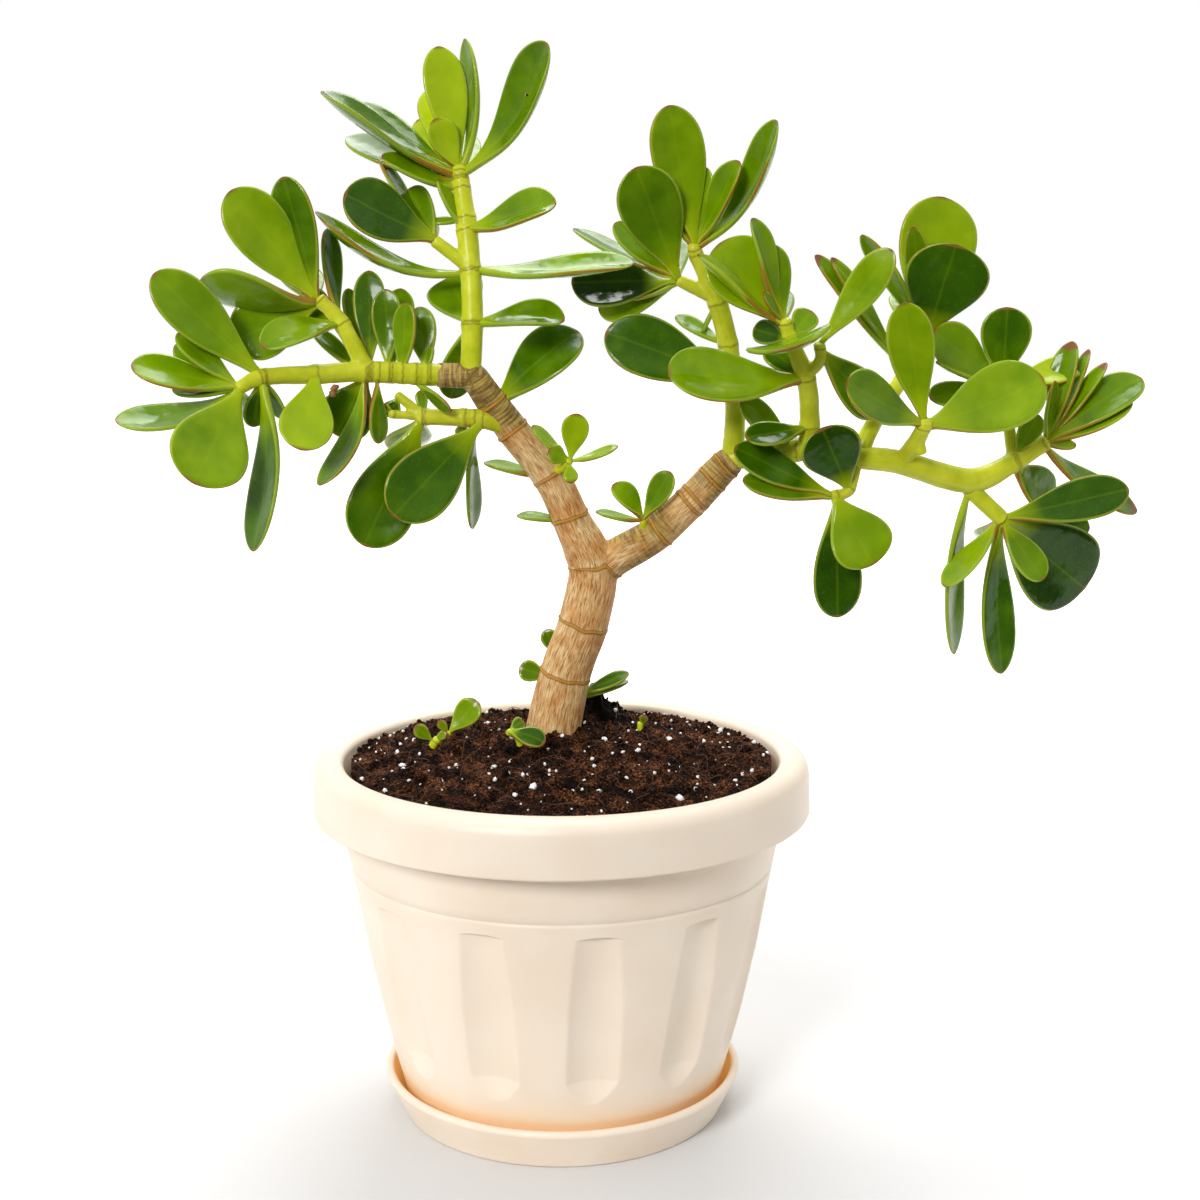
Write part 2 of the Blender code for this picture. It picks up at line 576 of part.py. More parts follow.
def blade_half_width(s):
    """Half the blade's width as a share of its widest, at a share s of the way from root to tip: a
    narrow neck that swells to the widest place, then a round end."""
    if s < WIDEST:
        rise = min(1.0, max(0.0, (s - NECK_END) / (WIDEST - NECK_END)))
        return NECK + (1 - NECK) * math.sin(math.pi / 2 * rise) ** 1.35
    return max(0.0, 1 - ((s - WIDEST) / (1 - WIDEST)) ** 2.3) ** 0.55


def leaf(name, row, collection):
    """One thick jade leaf: a sphere drawn out from the stem to the tip, flattened, dished a little
    along its middle, and bent."""
    joint, reach, width, face, bend, *fold = row
    trough = fold[0] if fold else TROUGH
    tip = spread([start + along for start, along in zip(joint, reach)])[0]
    joint, scale = spread(joint)
    width *= scale
    chord = tip - joint
    length = chord.length
    chord.normalize()
    up = Vector(face)
    up = (up - chord * up.dot(chord)).normalized()
    side = up.cross(chord)
    thickness = 0.055 * width + 1.1
    rings = 6 if width > BIG_LEAF else 5 if width > SMALL_LEAF else 4
    cage = bmesh.new()
    bmesh.ops.create_uvsphere(cage, u_segments=6 if width > SMALL_LEAF else 4, v_segments=rings, radius=1.0)
    for vert in cage.verts:
        turn = math.acos(max(-1.0, min(1.0, -vert.co.z))) / math.pi
        s = 0.5 * turn + 0.25 * (1 - math.cos(math.pi * turn))
        ring_radius = math.hypot(vert.co.x, vert.co.y)
        across = vert.co.x / ring_radius if ring_radius > MERGE else 0.0
        over = vert.co.y / ring_radius if ring_radius > MERGE else 0.0
        u = across * width / 2 * blade_half_width(s)
        half = max(0.3, thickness * (0.75 - 0.35 * s) * math.sqrt(min(1.0, (1 - s) * 5)))
        lift = over * half + trough * u * u / (width / 2) - bend * length * 4 * s * (1 - s)
        start = -1.0 if turn == 0.0 else s * length
        vert.co = (joint + chord * start + side * u + up * lift) * MM
    mesh = bpy.data.meshes.new(name)
    cage.to_mesh(mesh)
    cage.free()
    return place(name, mesh, collection, None)


def fuse(name, pieces, surface):
    """Join overlapping pieces into one solid, with one Boolean union on their collection."""
    if len(pieces) == 1:
        mesh = pieces[0].data
        bpy.data.objects.remove(pieces[0], do_unlink=True)
        return place(name, mesh, PLANT, surface)
    others = bpy.data.collections.new(name + "_pieces")
    for piece in pieces[1:]:
        others.objects.link(piece)
    union = pieces[0].modifiers.new("fuse", "BOOLEAN")
    union.operation = "UNION"
    union.operand_type = "COLLECTION"
    union.collection = others
    union.solver = "MANIFOLD"
    bpy.context.view_layer.update()
    mesh = evaluated_mesh(pieces[0])
    for piece in pieces:
        bpy.data.objects.remove(piece, do_unlink=True)
    bpy.data.collections.remove(others)
    return place(name, mesh, PLANT, surface)


def cut(thing, cutters, solver="EXACT"):
    """Take a collection of cutters out of a piece, with a Boolean that stays on it."""
    hole = thing.modifiers.new("clear_" + cutters.name, "BOOLEAN")
    hole.operation = "DIFFERENCE"
    hole.operand_type = "COLLECTION"
    hole.collection = cutters
    hole.solver = solver


def cutter_collection(name):
    made = bpy.data.collections.new(name)
    CUTTERS.children.link(made)
    return made


def hide(cutter):
    cutter.hide_render = True
    cutter.display_type = "WIRE"


# Saucer and pot

BODY_HEIGHTS = (SKIRT_BOTTOM, 91.0, 71.0, 43.0, SAUCER_FLOOR + GAP + FOOT_RADIUS)
BODY_RADII = (BODY_TOP_RADIUS, 83.2, 79.8, 73.8, BODY_BOTTOM_RADIUS + FOOT_RADIUS * 0.6)
POT_BOTTOM = SAUCER_FLOOR + GAP
POT_FLOOR = POT_BOTTOM + WALL


def body_radius(height):
    """The pot body's outer radius at a height, between the sizes measured on it."""
    return float(np.interp(height, BODY_HEIGHTS[::-1], BODY_RADII[::-1]))


def saucer():
    """A shallow dish with a flat underside, a sloping wall and a rolled lip."""
    lip = SAUCER_LIP / 2
    lip_centre = (SAUCER_LIP_RADIUS - lip, SAUCER_HEIGHT - lip)
    outside = arc(lip_centre, lip, 90, -30, 3)
    foot = [(SAUCER_BASE_RADIUS + 1.0, 1.2), (SAUCER_BASE_RADIUS, 0.0)]
    inside = arc(lip_centre, lip, 90, 200, 2)[1:]
    dish = [(SAUCER_BASE_RADIUS - 1.4, SAUCER_FLOOR)]
    profile = [(0.0, SAUCER_FLOOR)] + dish[::-1] + inside[::-1] + outside + foot + [(0.0, 0.0)]
    return turned("saucer", profile, CREAM_PLASTIC, PLANT)


def pot_profile():
    """Down the outside from the rim's crown, under the foot to the drain hole, and up the inside."""
    crown = (OPENING_RADIUS + 4.6, RIM_TOP)
    rim = [crown, (96.4, RIM_TOP - 0.9), (99.0, RIM_TOP - 4.0)]
    skirt = [(SKIRT_RADIUS, SKIRT_BOTTOM + 1.0), (SKIRT_RADIUS - 0.9, SKIRT_BOTTOM),
             (body_radius(SKIRT_BOTTOM), SKIRT_BOTTOM)]
    upper, lower = GROOVE_HEIGHT + GROOVE_HALF_WIDTH, GROOVE_HEIGHT - GROOVE_HALF_WIDTH
    groove = [(body_radius(upper), upper), (body_radius(GROOVE_HEIGHT) - GROOVE_DEPTH, GROOVE_HEIGHT),
              (body_radius(lower), lower)]
    body = list(zip(BODY_RADII[1:], BODY_HEIGHTS[1:]))
    foot = [(BODY_BOTTOM_RADIUS - 0.6, POT_BOTTOM), (DRAIN_RADIUS, POT_BOTTOM), (DRAIN_RADIUS, POT_FLOOR)]
    return rim + skirt + groove + body + foot + inner_wall()


def inner_wall():
    """The pot's inside, from its floor up to the opening's edge."""
    heights = (POT_FLOOR, BODY_HEIGHTS[3], BODY_HEIGHTS[1], SKIRT_BOTTOM)
    wall = [(body_radius(z) - WALL, z) for z in heights]
    return wall + [(OPENING_RADIUS, RIM_TOP - 2.4), (OPENING_RADIUS + 1.8, RIM_TOP - 0.6)]


def flute_cutters():
    """The scoops round the pot's body: leaning rods, each with a flat top and a tapered lower end."""
    cutters = cutter_collection("flutes")
    inner = body_radius(FLUTE_CREASE) - FLUTE_CREASE_DEPTH
    rise = FLUTE_TOP - FLUTE_CREASE
    outward = body_radius(FLUTE_TOP) - FLUTE_TOP_DEPTH - inner
    lean = math.atan2(outward, rise)
    length = math.hypot(outward, rise)
    end = FLUTE_RADIUS - FLUTE_TAPER
    profile = [(0.0, length), (FLUTE_RADIUS, length), (FLUTE_RADIUS, 0.0), (end, -FLUTE_RAMP), (0.0, -FLUTE_RAMP)]
    rod = turned("flute", profile, None, cutters, steps=28)
    out = inner + FLUTE_RADIUS * math.cos(lean)
    height = FLUTE_CREASE - FLUTE_RADIUS * math.sin(lean)
    for i in range(FLUTE_COUNT):
        copy = rod if i == 0 else bpy.data.objects.new(f"flute_{i}", rod.data)
        if i:
            cutters.objects.link(copy)
        turn = math.radians(360 / FLUTE_COUNT * i - FLUTE_TURN)
        copy.rotation_euler = (lean, 0.0, turn)
        copy.location = (out * math.sin(turn) * MM, -out * math.cos(turn) * MM, height * MM)
        hide(copy)
    return cutters


# Soil


def soil_height(x, y):
    """The soil's surface: a flat crown that falls to the pot's wall, with lumps, a heap round the trunk
    and one clod."""
    share = math.hypot(x, y) / OPENING_RADIUS
    lumps = math.sin(0.31 * x + 1.3) * math.cos(0.27 * y) + 0.6 * math.sin(0.55 * x + 0.48 * y)
    clod = CLOD[2] * math.exp(-(math.hypot(x - CLOD[0], y - CLOD[1]) / CLOD[3]) ** 4)
    heap = SOIL_HEAP[2] * math.exp(-(math.hypot(x - SOIL_HEAP[0], y - SOIL_HEAP[1]) / SOIL_HEAP[3]) ** 2)
    crown = SOIL_EDGE + SOIL_CROWN * (1 - share ** 4)
    return crown + (SOIL_LUMP * lumps + clod + heap) * max(0.0, 1 - share ** 8)


def soil():
    """The potting soil that fills the pot, a hair off its wall, with its top raised by soil_height."""
    side = [(radius - GAP, height) for radius, height in inner_wall() if height < SOIL_EDGE]
    top_radius = side[-1][0]
    top = [(top_radius * (SOIL_RINGS - i) / SOIL_RINGS, SOIL_EDGE) for i in range(SOIL_RINGS + 1)]
    profile = [(0.0, POT_FLOOR + GAP), (side[0][0], POT_FLOOR + GAP)] + side[1:] + top
    ground = turned("soil", profile[::-1], POTTING_SOIL, PLANT)
    for vert in ground.data.vertices:
        x, y, z = vert.co / MM
        if z > SOIL_EDGE - 0.1:
            vert.co.z = soil_height(x, y) * MM
    return ground


# Stems and leaves


def stem_points(name):
    """The point rows of a node's stems, smoothed, with ring scars on the woody ones."""
    if name == "trunk":
        return [bark_run(TRUNK, TRUNK_RINGS), bark_run(RIGHT_LIMB, RIGHT_LIMB_RINGS),
                smooth_run(LIMB_STUB, STEM_STEP), smooth_run(WOODY_ARM, STEM_STEP)]
    return [smooth_run(run, STEM_STEP) for run in SHOOTS[name]["stems"]]


def sides_of(name, points):
    if name == "trunk":
        return 10
    return 8 if points[:, 3].max() > THIN_STEM else 6


def stem_cutters(name):
    """The node's stems grown by the gap, to clear what grows from them or stands round them."""
    cutters = cutter_collection(name + "_clearance")
    for i, points in enumerate(stem_points(name)):
        hide(tube(f"{name}_clearance_{i}", points, sides_of(name, points), cutters, grow=GAP))
    return cutters


def shoot(name):
    """A leafy stem: its stems and its leaves fused into one solid."""
    pieces = [tube(f"{name}_stem_{i}", points, sides_of(name, points), PLANT)
              for i, points in enumerate(stem_points(name))]
    pieces += [leaf(f"{name}_leaf_{i}", row, PLANT) for i, row in enumerate(SHOOTS[name]["leaves"])]
    young = name.startswith(("trunk_shoot", "seedling"))
    return fuse(name, pieces, YOUNG_LEAF if young else JADE_LEAF)


saucer()
pot = turned("pot", pot_profile(), CREAM_PLASTIC, PLANT)
ground = soil()
trunk_pieces = [tube(f"trunk_{i}", points, sides_of("trunk", points), PLANT)
                for i, points in enumerate(stem_points("trunk"))]
fuse("trunk", trunk_pieces, BARK)
branches = {name: shoot(name) for name in SHOOTS}

# The clearances are cut last, because a Boolean that stays on its object is worked out again each time
# the scene changes.
carriers = {"trunk"} | {made["parent"] for made in SHOOTS.values()} - {"soil"}
rooted = [name for name, made in SHOOTS.items() if made["parent"] == "soil"]
clearances = {name: stem_cutters(name) for name in sorted(carriers) + rooted}
flutes = flute_cutters()
cut(pot, flutes)
for name in ["trunk"] + rooted:
    cut(ground, clearances[name])
for name, branch in branches.items():
    carrier = SHOOTS[name]["parent"]
    while carrier != "soil":
        cut(branch, clearances[carrier], "MANIFOLD")
        carrier = SHOOTS[carrier]["parent"] if carrier in SHOOTS else "soil"
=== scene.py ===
import math

import bpy
import numpy as np
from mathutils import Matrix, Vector


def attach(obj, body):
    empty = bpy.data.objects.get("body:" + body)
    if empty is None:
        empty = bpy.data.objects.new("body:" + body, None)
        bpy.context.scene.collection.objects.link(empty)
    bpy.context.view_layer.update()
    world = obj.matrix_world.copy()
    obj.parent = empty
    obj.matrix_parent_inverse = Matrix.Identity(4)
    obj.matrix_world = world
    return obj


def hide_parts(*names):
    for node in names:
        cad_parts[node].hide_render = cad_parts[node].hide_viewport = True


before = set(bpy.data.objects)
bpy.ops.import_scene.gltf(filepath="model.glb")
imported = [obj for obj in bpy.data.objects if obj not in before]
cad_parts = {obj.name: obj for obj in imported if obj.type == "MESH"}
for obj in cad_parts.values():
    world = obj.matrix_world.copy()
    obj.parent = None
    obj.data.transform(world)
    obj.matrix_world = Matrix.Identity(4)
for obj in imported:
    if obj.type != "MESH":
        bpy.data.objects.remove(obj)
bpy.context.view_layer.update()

# Camera: a mild portrait lens at the height of the plant's middle, looking a little down at it.
MM = 0.001
EYE = np.array([0.0, -742.0, 343.0])
LOOK_DOWN = math.radians(10.206)
LOOK_RIGHT = math.radians(1.193)

camera = bpy.data.objects.new("camera", bpy.data.cameras.new("camera"))
bpy.context.scene.collection.objects.link(camera)
camera.data.sensor_width = 36.0
camera.data.lens = 56.8
camera.location = EYE * MM
camera.rotation_euler = (math.pi / 2 - LOOK_DOWN, 0.0, -LOOK_RIGHT)
bpy.context.scene.camera = camera

# Floor and light: a white studio sweep, a soft box high in front on the left and one overhead at the back.
# The studio is dark on the camera's side, so that waxy leaves that face it keep their own deep colour.
FLOOR_WIDTH = 6000.0
FLOOR_FRONT = -240.0
FLOOR_BACK = 5000.0
SWEEP_START = 0.16
SWEEP_END = 0.9
SWEEP_GLOW = 0.8
LAMPS = (
    # name, place in metres, width in metres, watts
    ("key", (-0.85, -1.75, 1.2), 0.6, 30.5),
    ("top", (0.1, 0.8, 1.7), 1.1, 22.0),
)
LAMPS_AIM = (0, 0, 0.25)


def linear(code):
    """An sRGB hex colour as linear red, green, blue and alpha."""
    parts = np.array([int(code[i:i + 2], 16) for i in (1, 3, 5)]) / 255
    return (*np.where(parts > 0.04045, ((parts + 0.055) / 1.055) ** 2.4, parts / 12.92), 1.0)


def add(tree, kind, inputs=None, stops=None, **settings):
    """Add a node: settings are its own properties, inputs are values or sockets for its inputs, and
    stops are a colour ramp's places and colours."""
    node = tree.nodes.new("ShaderNode" + kind)
    for key, value in settings.items():
        setattr(node, key, value)
    for key, value in (inputs or {}).items():
        if isinstance(value, bpy.types.NodeSocket):
            tree.links.new(value, node.inputs[key])
        else:
            node.inputs[key].default_value = value
    for i, (place, colour) in enumerate(stops or []):
        elements = node.color_ramp.elements
        stop = elements[i] if i < len(elements) else elements.new(place)
        stop.position = place
        stop.color = linear(colour) if isinstance(colour, str) else (colour, colour, colour, 1.0)
    return node


def new_material(name, **sockets):
    """A material of that name: its tree and its Principled shader, with constant sockets set."""
    made = bpy.data.materials.new(name)
    made.use_nodes = True
    shader = made.node_tree.nodes["Principled BSDF"]
    for key, value in sockets.items():
        shader.inputs[key.replace("_", " ")].default_value = value
    return made, made.node_tree, shader


def wire(tree, node, **sockets):
    """Wire sockets to a node's inputs of those names."""
    for key, value in sockets.items():
        tree.links.new(value, node.inputs[key.replace("_", " ")])


def pattern(tree, vector, size, detail, **inputs):
    """Noise whose patches are about that size, in the vector's own unit."""
    inputs = {"Vector": vector, "Scale": 1 / size, "Detail": detail, **inputs}
    return add(tree, "TexNoise", inputs).outputs["Fac"]


def ramp(tree, value, *stops):
    """The colour of a ramp at a value."""
    return add(tree, "ValToRGB", {"Fac": value}, stops=stops).outputs["Color"]


def fade(tree, value, start, end, low=0.0, high=1.0):
    """A number that runs from low, where the value is start, to high, where it is end."""
    ranges = {"From Min": start, "From Max": end, "To Min": low, "To Max": high}
    return add(tree, "MapRange", {"Value": value, **ranges}).outputs["Result"]


def blend(tree, share, first, second, how="MIX"):
    """Two colours blended, by the share that the second one has."""
    second = linear(second) if isinstance(second, str) else second
    node = add(tree, "Mix", {"Factor": share, "A": first, "B": second}, data_type="RGBA", blend_type=how)
    return node.outputs["Result"]


def maths(tree, how, *values, **settings):
    """A maths node's result for one to three numbers."""
    return add(tree, "Math", dict(enumerate(values)), operation=how, **settings).outputs["Value"]


def bump(tree, height, strength, distance, **inputs):
    """The normal of a surface that a height raises by up to that distance in metres."""
    return add(tree, "Bump", {"Height": height, "Strength": strength, "Distance": distance,
                              **inputs}).outputs["Normal"]


def carried(tree, name):
    """The vector of that name that a mesh keeps on its vertices."""
    return add(tree, "Attribute", attribute_name=name).outputs["Vector"]


def split(tree, vector):
    """A vector's X, Y and Z."""
    return add(tree, "SeparateXYZ", {"Vector": vector}).outputs.values()


def stretch(tree, vector, *scale):
    """A vector with X, Y and Z scaled, which draws a pattern out or squeezes it."""
    return add(tree, "Mapping", {"Vector": vector, "Scale": scale}).outputs["Vector"]


def show(name, points, faces, material, vectors=None):
    """An object from points in mm and arrays of face corners, shaded smooth, with the vectors kept on
    its vertices for its material."""
    mesh = bpy.data.meshes.new(name)
    mesh.vertices.add(len(points))
    mesh.vertices.foreach_set("co", (np.asarray(points) * MM).ravel())
    sizes = np.concatenate([np.full(len(part), part.shape[1]) for part in faces])
    mesh.loops.add(int(sizes.sum()))
    mesh.loops.foreach_set("vertex_index", np.concatenate([part.ravel() for part in faces]))
    mesh.polygons.add(len(sizes))
    mesh.polygons.foreach_set("loop_start", np.concatenate([[0], np.cumsum(sizes)[:-1]]))
    mesh.update(calc_edges=True)
    mesh.shade_smooth()
    if material:
        mesh.materials.append(material)
    for key, values in (vectors or {}).items():
        carrier = mesh.attributes.new(key, "FLOAT_VECTOR", "POINT")
        carrier.data.foreach_set("vector", np.asarray(values).ravel())
    thing = bpy.data.objects.new(name, mesh)
    bpy.context.scene.collection.objects.link(thing)
    return thing


# The sweep is matt white paper. Away from the plant it is lit for itself, which keeps the background even.
paper, tree, shader = new_material("matt_white_paper_sweep", Base_Color=linear("#dcdcdc"), Roughness=0.9,
                                   Emission_Color=linear("#ffffff"))
spot = add(tree, "TexCoord").outputs["Object"]
reach = add(tree, "VectorMath", {0: spot}, operation="LENGTH").outputs["Value"]
wire(tree, shader, Emission_Strength=fade(tree, reach, SWEEP_START, SWEEP_END, 0.0, SWEEP_GLOW))
side = FLOOR_WIDTH / 2
corners = [[-side, FLOOR_FRONT, 0], [side, FLOOR_FRONT, 0], [side, FLOOR_BACK, 0], [-side, FLOOR_BACK, 0]]
show("floor", corners, [np.array([[0, 1, 2, 3]])], paper)

world = bpy.data.worlds.new("white_studio")
world.use_nodes = True
bpy.context.scene.world = world
bpy.context.scene.view_settings.view_transform = "Standard"
walls = world.node_tree
seen = add(walls, "LightPath").outputs["Is Camera Ray"]
direction = add(walls, "TexCoord").outputs["Generated"]
toward = add(walls, "VectorMath", {0: direction, 1: (0.0, 0.6, 0.8)}, operation="DOT_PRODUCT")
share = fade(walls, toward.outputs["Value"], -1.0, 1.0)
dome = ramp(walls, share, (0.2, 0.12), (0.4, 0.38), (0.6, 0.62), (0.9, 0.9))
wire(walls, walls.nodes["Background"], Color=blend(walls, seen, dome, "#ffffff"))

for name, place, size, power in LAMPS:
    lamp = bpy.data.lights.new(name, "AREA")
    lamp.shape = "SQUARE"
    lamp.size = size
    lamp.energy = power
    box = bpy.data.objects.new(name, lamp)
    box.location = place
    box.rotation_euler = (Vector(LAMPS_AIM) - Vector(place)).to_track_quat("-Z", "Y").to_euler()
    bpy.context.scene.collection.objects.link(box)

# Saucer: a shallow dish under the pot that catches the water, with a sloping wall and a rolled lip.
# It is injection-moulded polypropylene in cream, and the pot's foot stands loose on its floor.
SAUCER_FLOOR = 3.0
SAUCER_BASE_RADIUS = 65.9
SAUCER_LIP_RADIUS = 72.9
SAUCER_HEIGHT = 17.4
SAUCER_LIP = 3.4
# Share of painted warm light inside the saucer: amber colour and a faint painted glow.
SAUCER_PAINTED_WARM_LIGHT = 0.85
ROUND_COLUMNS = 240


def arc(centre, radius, start, end, steps):
    """Points on a circle's arc in the section plane, from one angle to another in degrees."""
    angles = np.radians(np.linspace(start, end, steps + 1))
    return np.stack([centre[0] + radius * np.cos(angles), centre[1] + radius * np.sin(angles)], 1)


def resample(section, step):
    """Points about every step mm along a section line, with its own corners kept."""
    parts = []
    for a, b in zip(section, section[1:]):
        count = max(1, round(float(np.linalg.norm(b - a)) / step))
        parts.append(a + (b - a) * (np.arange(count) / count)[:, None])
    return np.concatenate(parts + [section[-1:]])


def turn(section, columns):
    """A section of (radius, height) points swept round Z: point (i, j) is section point i at the turn
    2 pi j / columns."""
    angle = np.linspace(0, 2 * math.pi, columns, endpoint=False)
    radius, height = section[:, 0, None], section[:, 1, None]
    return np.stack([radius * np.cos(angle), radius * np.sin(angle), height + 0 * angle], 2)


def skin(rows, columns):
    """Faces of a closed surface: vertex 0 and the last one are its poles, and rows of vertices run
    round it between them."""
    ring = np.arange(columns)
    after = (ring + 1) % columns
    start = 1 + columns * np.arange(rows - 1)[:, None]
    quads = np.stack([start + ring, start + after, start + columns + after, start + columns + ring], -1)
    last = 1 + rows * columns
    caps = np.concatenate([np.stack([0 * ring, 1 + after, 1 + ring], -1),
                           np.stack([last + 0 * ring, last - columns + ring, last - columns + after], -1)])
    return [quads.reshape(-1, 4), caps]


def hoop(rows, columns):
    """Faces of a surface closed both round and along, such as a turned wall with no poles."""
    i, j = np.meshgrid(np.arange(rows), np.arange(columns), indexing="ij")
    below, after = (i + 1) % rows, (j + 1) % columns
    quads = np.stack([i * columns + j, i * columns + after, below * columns + after, below * columns + j], -1)
    return [quads.reshape(-1, 4)]


def keep(thing, node):
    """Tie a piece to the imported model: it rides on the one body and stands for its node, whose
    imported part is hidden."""
    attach(thing, "root")
    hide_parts(node)
    return thing


# Moulded polypropylene has a soft sheen with no clear reflections, a faint unevenness where the melt
# flowed, and lets a little light in. Amber inside the saucer, at the pot's foot and on its inner wall is
# painted warm light, for light bounced between the cream parts; inside the saucer a painted glow also
# stands for light that seeps through its thin wall.
cream_plastic, tree, shader = new_material(
    "cream_polypropylene_moulded", Roughness=0.42, IOR=1.49, Subsurface_Weight=0.05,
    Subsurface_Radius=(1.0, 0.6, 0.35), Subsurface_Scale=0.003, Emission_Color=linear("#eebc58"))
MELT_FLOW = 35.0
MOULD_TEXTURE = 0.6
# Strength of the painted glow inside the saucer.
PAINTED_GLOW = 0.13
spot = add(tree, "TexCoord").outputs["Object"]
flow = pattern(tree, spot, MELT_FLOW * MM, 2.0)
tone = ramp(tree, flow, (0.3, "#f1dec8"), (0.7, "#f6e7d4"))
painted_warm_share, glow, _ = split(tree, carried(tree, "painted_bounce_light"))
# Painted warm light: amber blended in by the first share that the mesh carries; the second share drives a
# painted glow.
tone = blend(tree, painted_warm_share, tone, "#ffd084")
grit = pattern(tree, spot, MOULD_TEXTURE * MM, 1.0)
wire(tree, shader, Base_Color=tone, Emission_Strength=maths(tree, "MULTIPLY", glow, PAINTED_GLOW),
     Normal=bump(tree, grit, 0.06, 0.0002))

lip = SAUCER_LIP / 2
lip_centre = (SAUCER_LIP_RADIUS - lip, SAUCER_HEIGHT - lip)
section = np.concatenate([
    [[0.5, SAUCER_FLOOR], [SAUCER_BASE_RADIUS - 3.4, SAUCER_FLOOR]],
    arc((SAUCER_BASE_RADIUS - 3.2, SAUCER_FLOOR + 2.0), 2.0, -90, -20, 5),
    arc(lip_centre, lip, 190, -35, 14),
    arc((SAUCER_BASE_RADIUS - 1.2, 1.4), 1.4, -5, -90, 5),
    [[0.5, 0.0]],
])
section = resample(section, 3.0)
rings = turn(section, ROUND_COLUMNS)
points = np.concatenate([[[0, 0, SAUCER_FLOOR]], rings.reshape(-1, 3), [[0, 0, 0]]])
# Painted warm light: the dish's inside, from just below the lip's top down to its floor, is painted amber and
# given a painted glow.
inner = np.arange(len(section)) < np.argmax(section[:, 1])
painted_warm_light = inner * np.clip((SAUCER_HEIGHT - section[:, 1]) / 2, 0, 1) * SAUCER_PAINTED_WARM_LIGHT
painted_warm_light = np.concatenate([[SAUCER_PAINTED_WARM_LIGHT], np.repeat(painted_warm_light, ROUND_COLUMNS), [0.0]])
faces = [part[:, ::-1] for part in skin(len(rings), ROUND_COLUMNS)]
painted_bounce_light = {"painted_bounce_light": np.stack([painted_warm_light, painted_warm_light, 0 * painted_warm_light], 1)}
keep(show("saucer_dish", points, faces, cream_plastic, painted_bounce_light), "saucer")

# Pot: a tall round pot with a wide rolled rim whose skirt hangs round the wall, a fine groove below it
# and twelve scooped flutes. It is moulded in one piece with its floor, which has a drain hole.
SKIRT_RADIUS = 100.0
SKIRT_BOTTOM = 125.8
RIM_TOP = 147.2
OPENING_RADIUS = 87.4
WALL = 4.8
GAP = 0.3
GROOVE_HEIGHT = 104.4
GROOVE_DEPTH = 0.7
GROOVE_HALF_WIDTH = 0.9
DRAIN_RADIUS = 7.0
FLUTE_COUNT = 12
FLUTE_TURN = -9.0
FLUTE_TOP = 99.3
FLUTE_CREASE = 36.8
FLUTE_TOP_DEPTH = 2.1
FLUTE_CREASE_DEPTH = 3.3
FLUTE_RADIUS = 21.0
FLUTE_RAMP = 14.0
FLUTE_TAPER = 4.0
BODY_HEIGHTS = (5.8, 43.0, 71.0, 91.0, 125.8)
BODY_RADII = (64.0, 73.8, 79.8, 83.2, 89.5)
POT_BOTTOM = SAUCER_FLOOR + GAP
POT_FLOOR = POT_BOTTOM + WALL
POT_COLUMNS = 576
# Painted warm light on the pot: amber at its foot that fades out upwards, and on its inner wall.
PAINTED_WARM_LIGHT_TOP = 34.0
POT_PAINTED_WARM_LIGHT = 0.4


def body_radius(z):
    """The pot body's outer radius at a height, between the sizes measured on it."""
    return np.interp(z, BODY_HEIGHTS, BODY_RADII)


def flute_depth(off, height):
    """How deep a scoop is at an angle off its middle: a rod of FLUTE_RADIUS leans in the wall, touching
    its two depths, with a flat top and below the crease a taper that runs out to the wall."""
    wall = body_radius(height)
    inner = body_radius(FLUTE_CREASE) - FLUTE_CREASE_DEPTH
    slope = (body_radius(FLUTE_TOP) - FLUTE_TOP_DEPTH - inner) / (FLUTE_TOP - FLUTE_CREASE)
    long_way = math.hypot(1, slope)
    arch = 0.5 * (wall * np.sin(off)) ** 2 / FLUTE_RADIUS * slope
    below = np.clip((FLUTE_CREASE - arch - height) * long_way / FLUTE_RAMP, 0, 1)
    rod = FLUTE_RADIUS - FLUTE_TAPER * below
    middle = inner + (height - FLUTE_CREASE) * slope + FLUTE_RADIUS * long_way
    cut_to = middle - np.sqrt(np.maximum(rod ** 2 - (wall * np.sin(off)) ** 2, 0)) * long_way
    depth = np.maximum(wall * np.cos(off) - cut_to, 0)
    return depth * np.clip((FLUTE_TOP - 0.4 - 2 * arch - height) / 0.7, 0, 1)


body_z = np.concatenate([
    np.linspace(SKIRT_BOTTOM + 0.6, GROOVE_HEIGHT + GROOVE_HALF_WIDTH, 8),
    GROOVE_HEIGHT + GROOVE_HALF_WIDTH * np.array([0.5, 0.0, -0.5, -1.0]),
    np.linspace(GROOVE_HEIGHT - 2, FLUTE_TOP + 0.6, 4),
    np.linspace(FLUTE_TOP + 0.3, FLUTE_TOP - 2.8, 16),
    np.linspace(FLUTE_TOP - 5, FLUTE_CREASE + 3, 16),
    np.linspace(FLUTE_CREASE + 1.5, FLUTE_CREASE - 2.0, 10),
    np.linspace(FLUTE_CREASE - 3, FLUTE_CREASE - FLUTE_RAMP, 16),
    np.linspace(FLUTE_CREASE - FLUTE_RAMP - 3, 6.4, 5),
])
groove = np.maximum(0, 1 - np.abs(body_z - GROOVE_HEIGHT) / GROOVE_HALF_WIDTH) * GROOVE_DEPTH
body = np.stack([body_radius(body_z) - groove, body_z], 1)
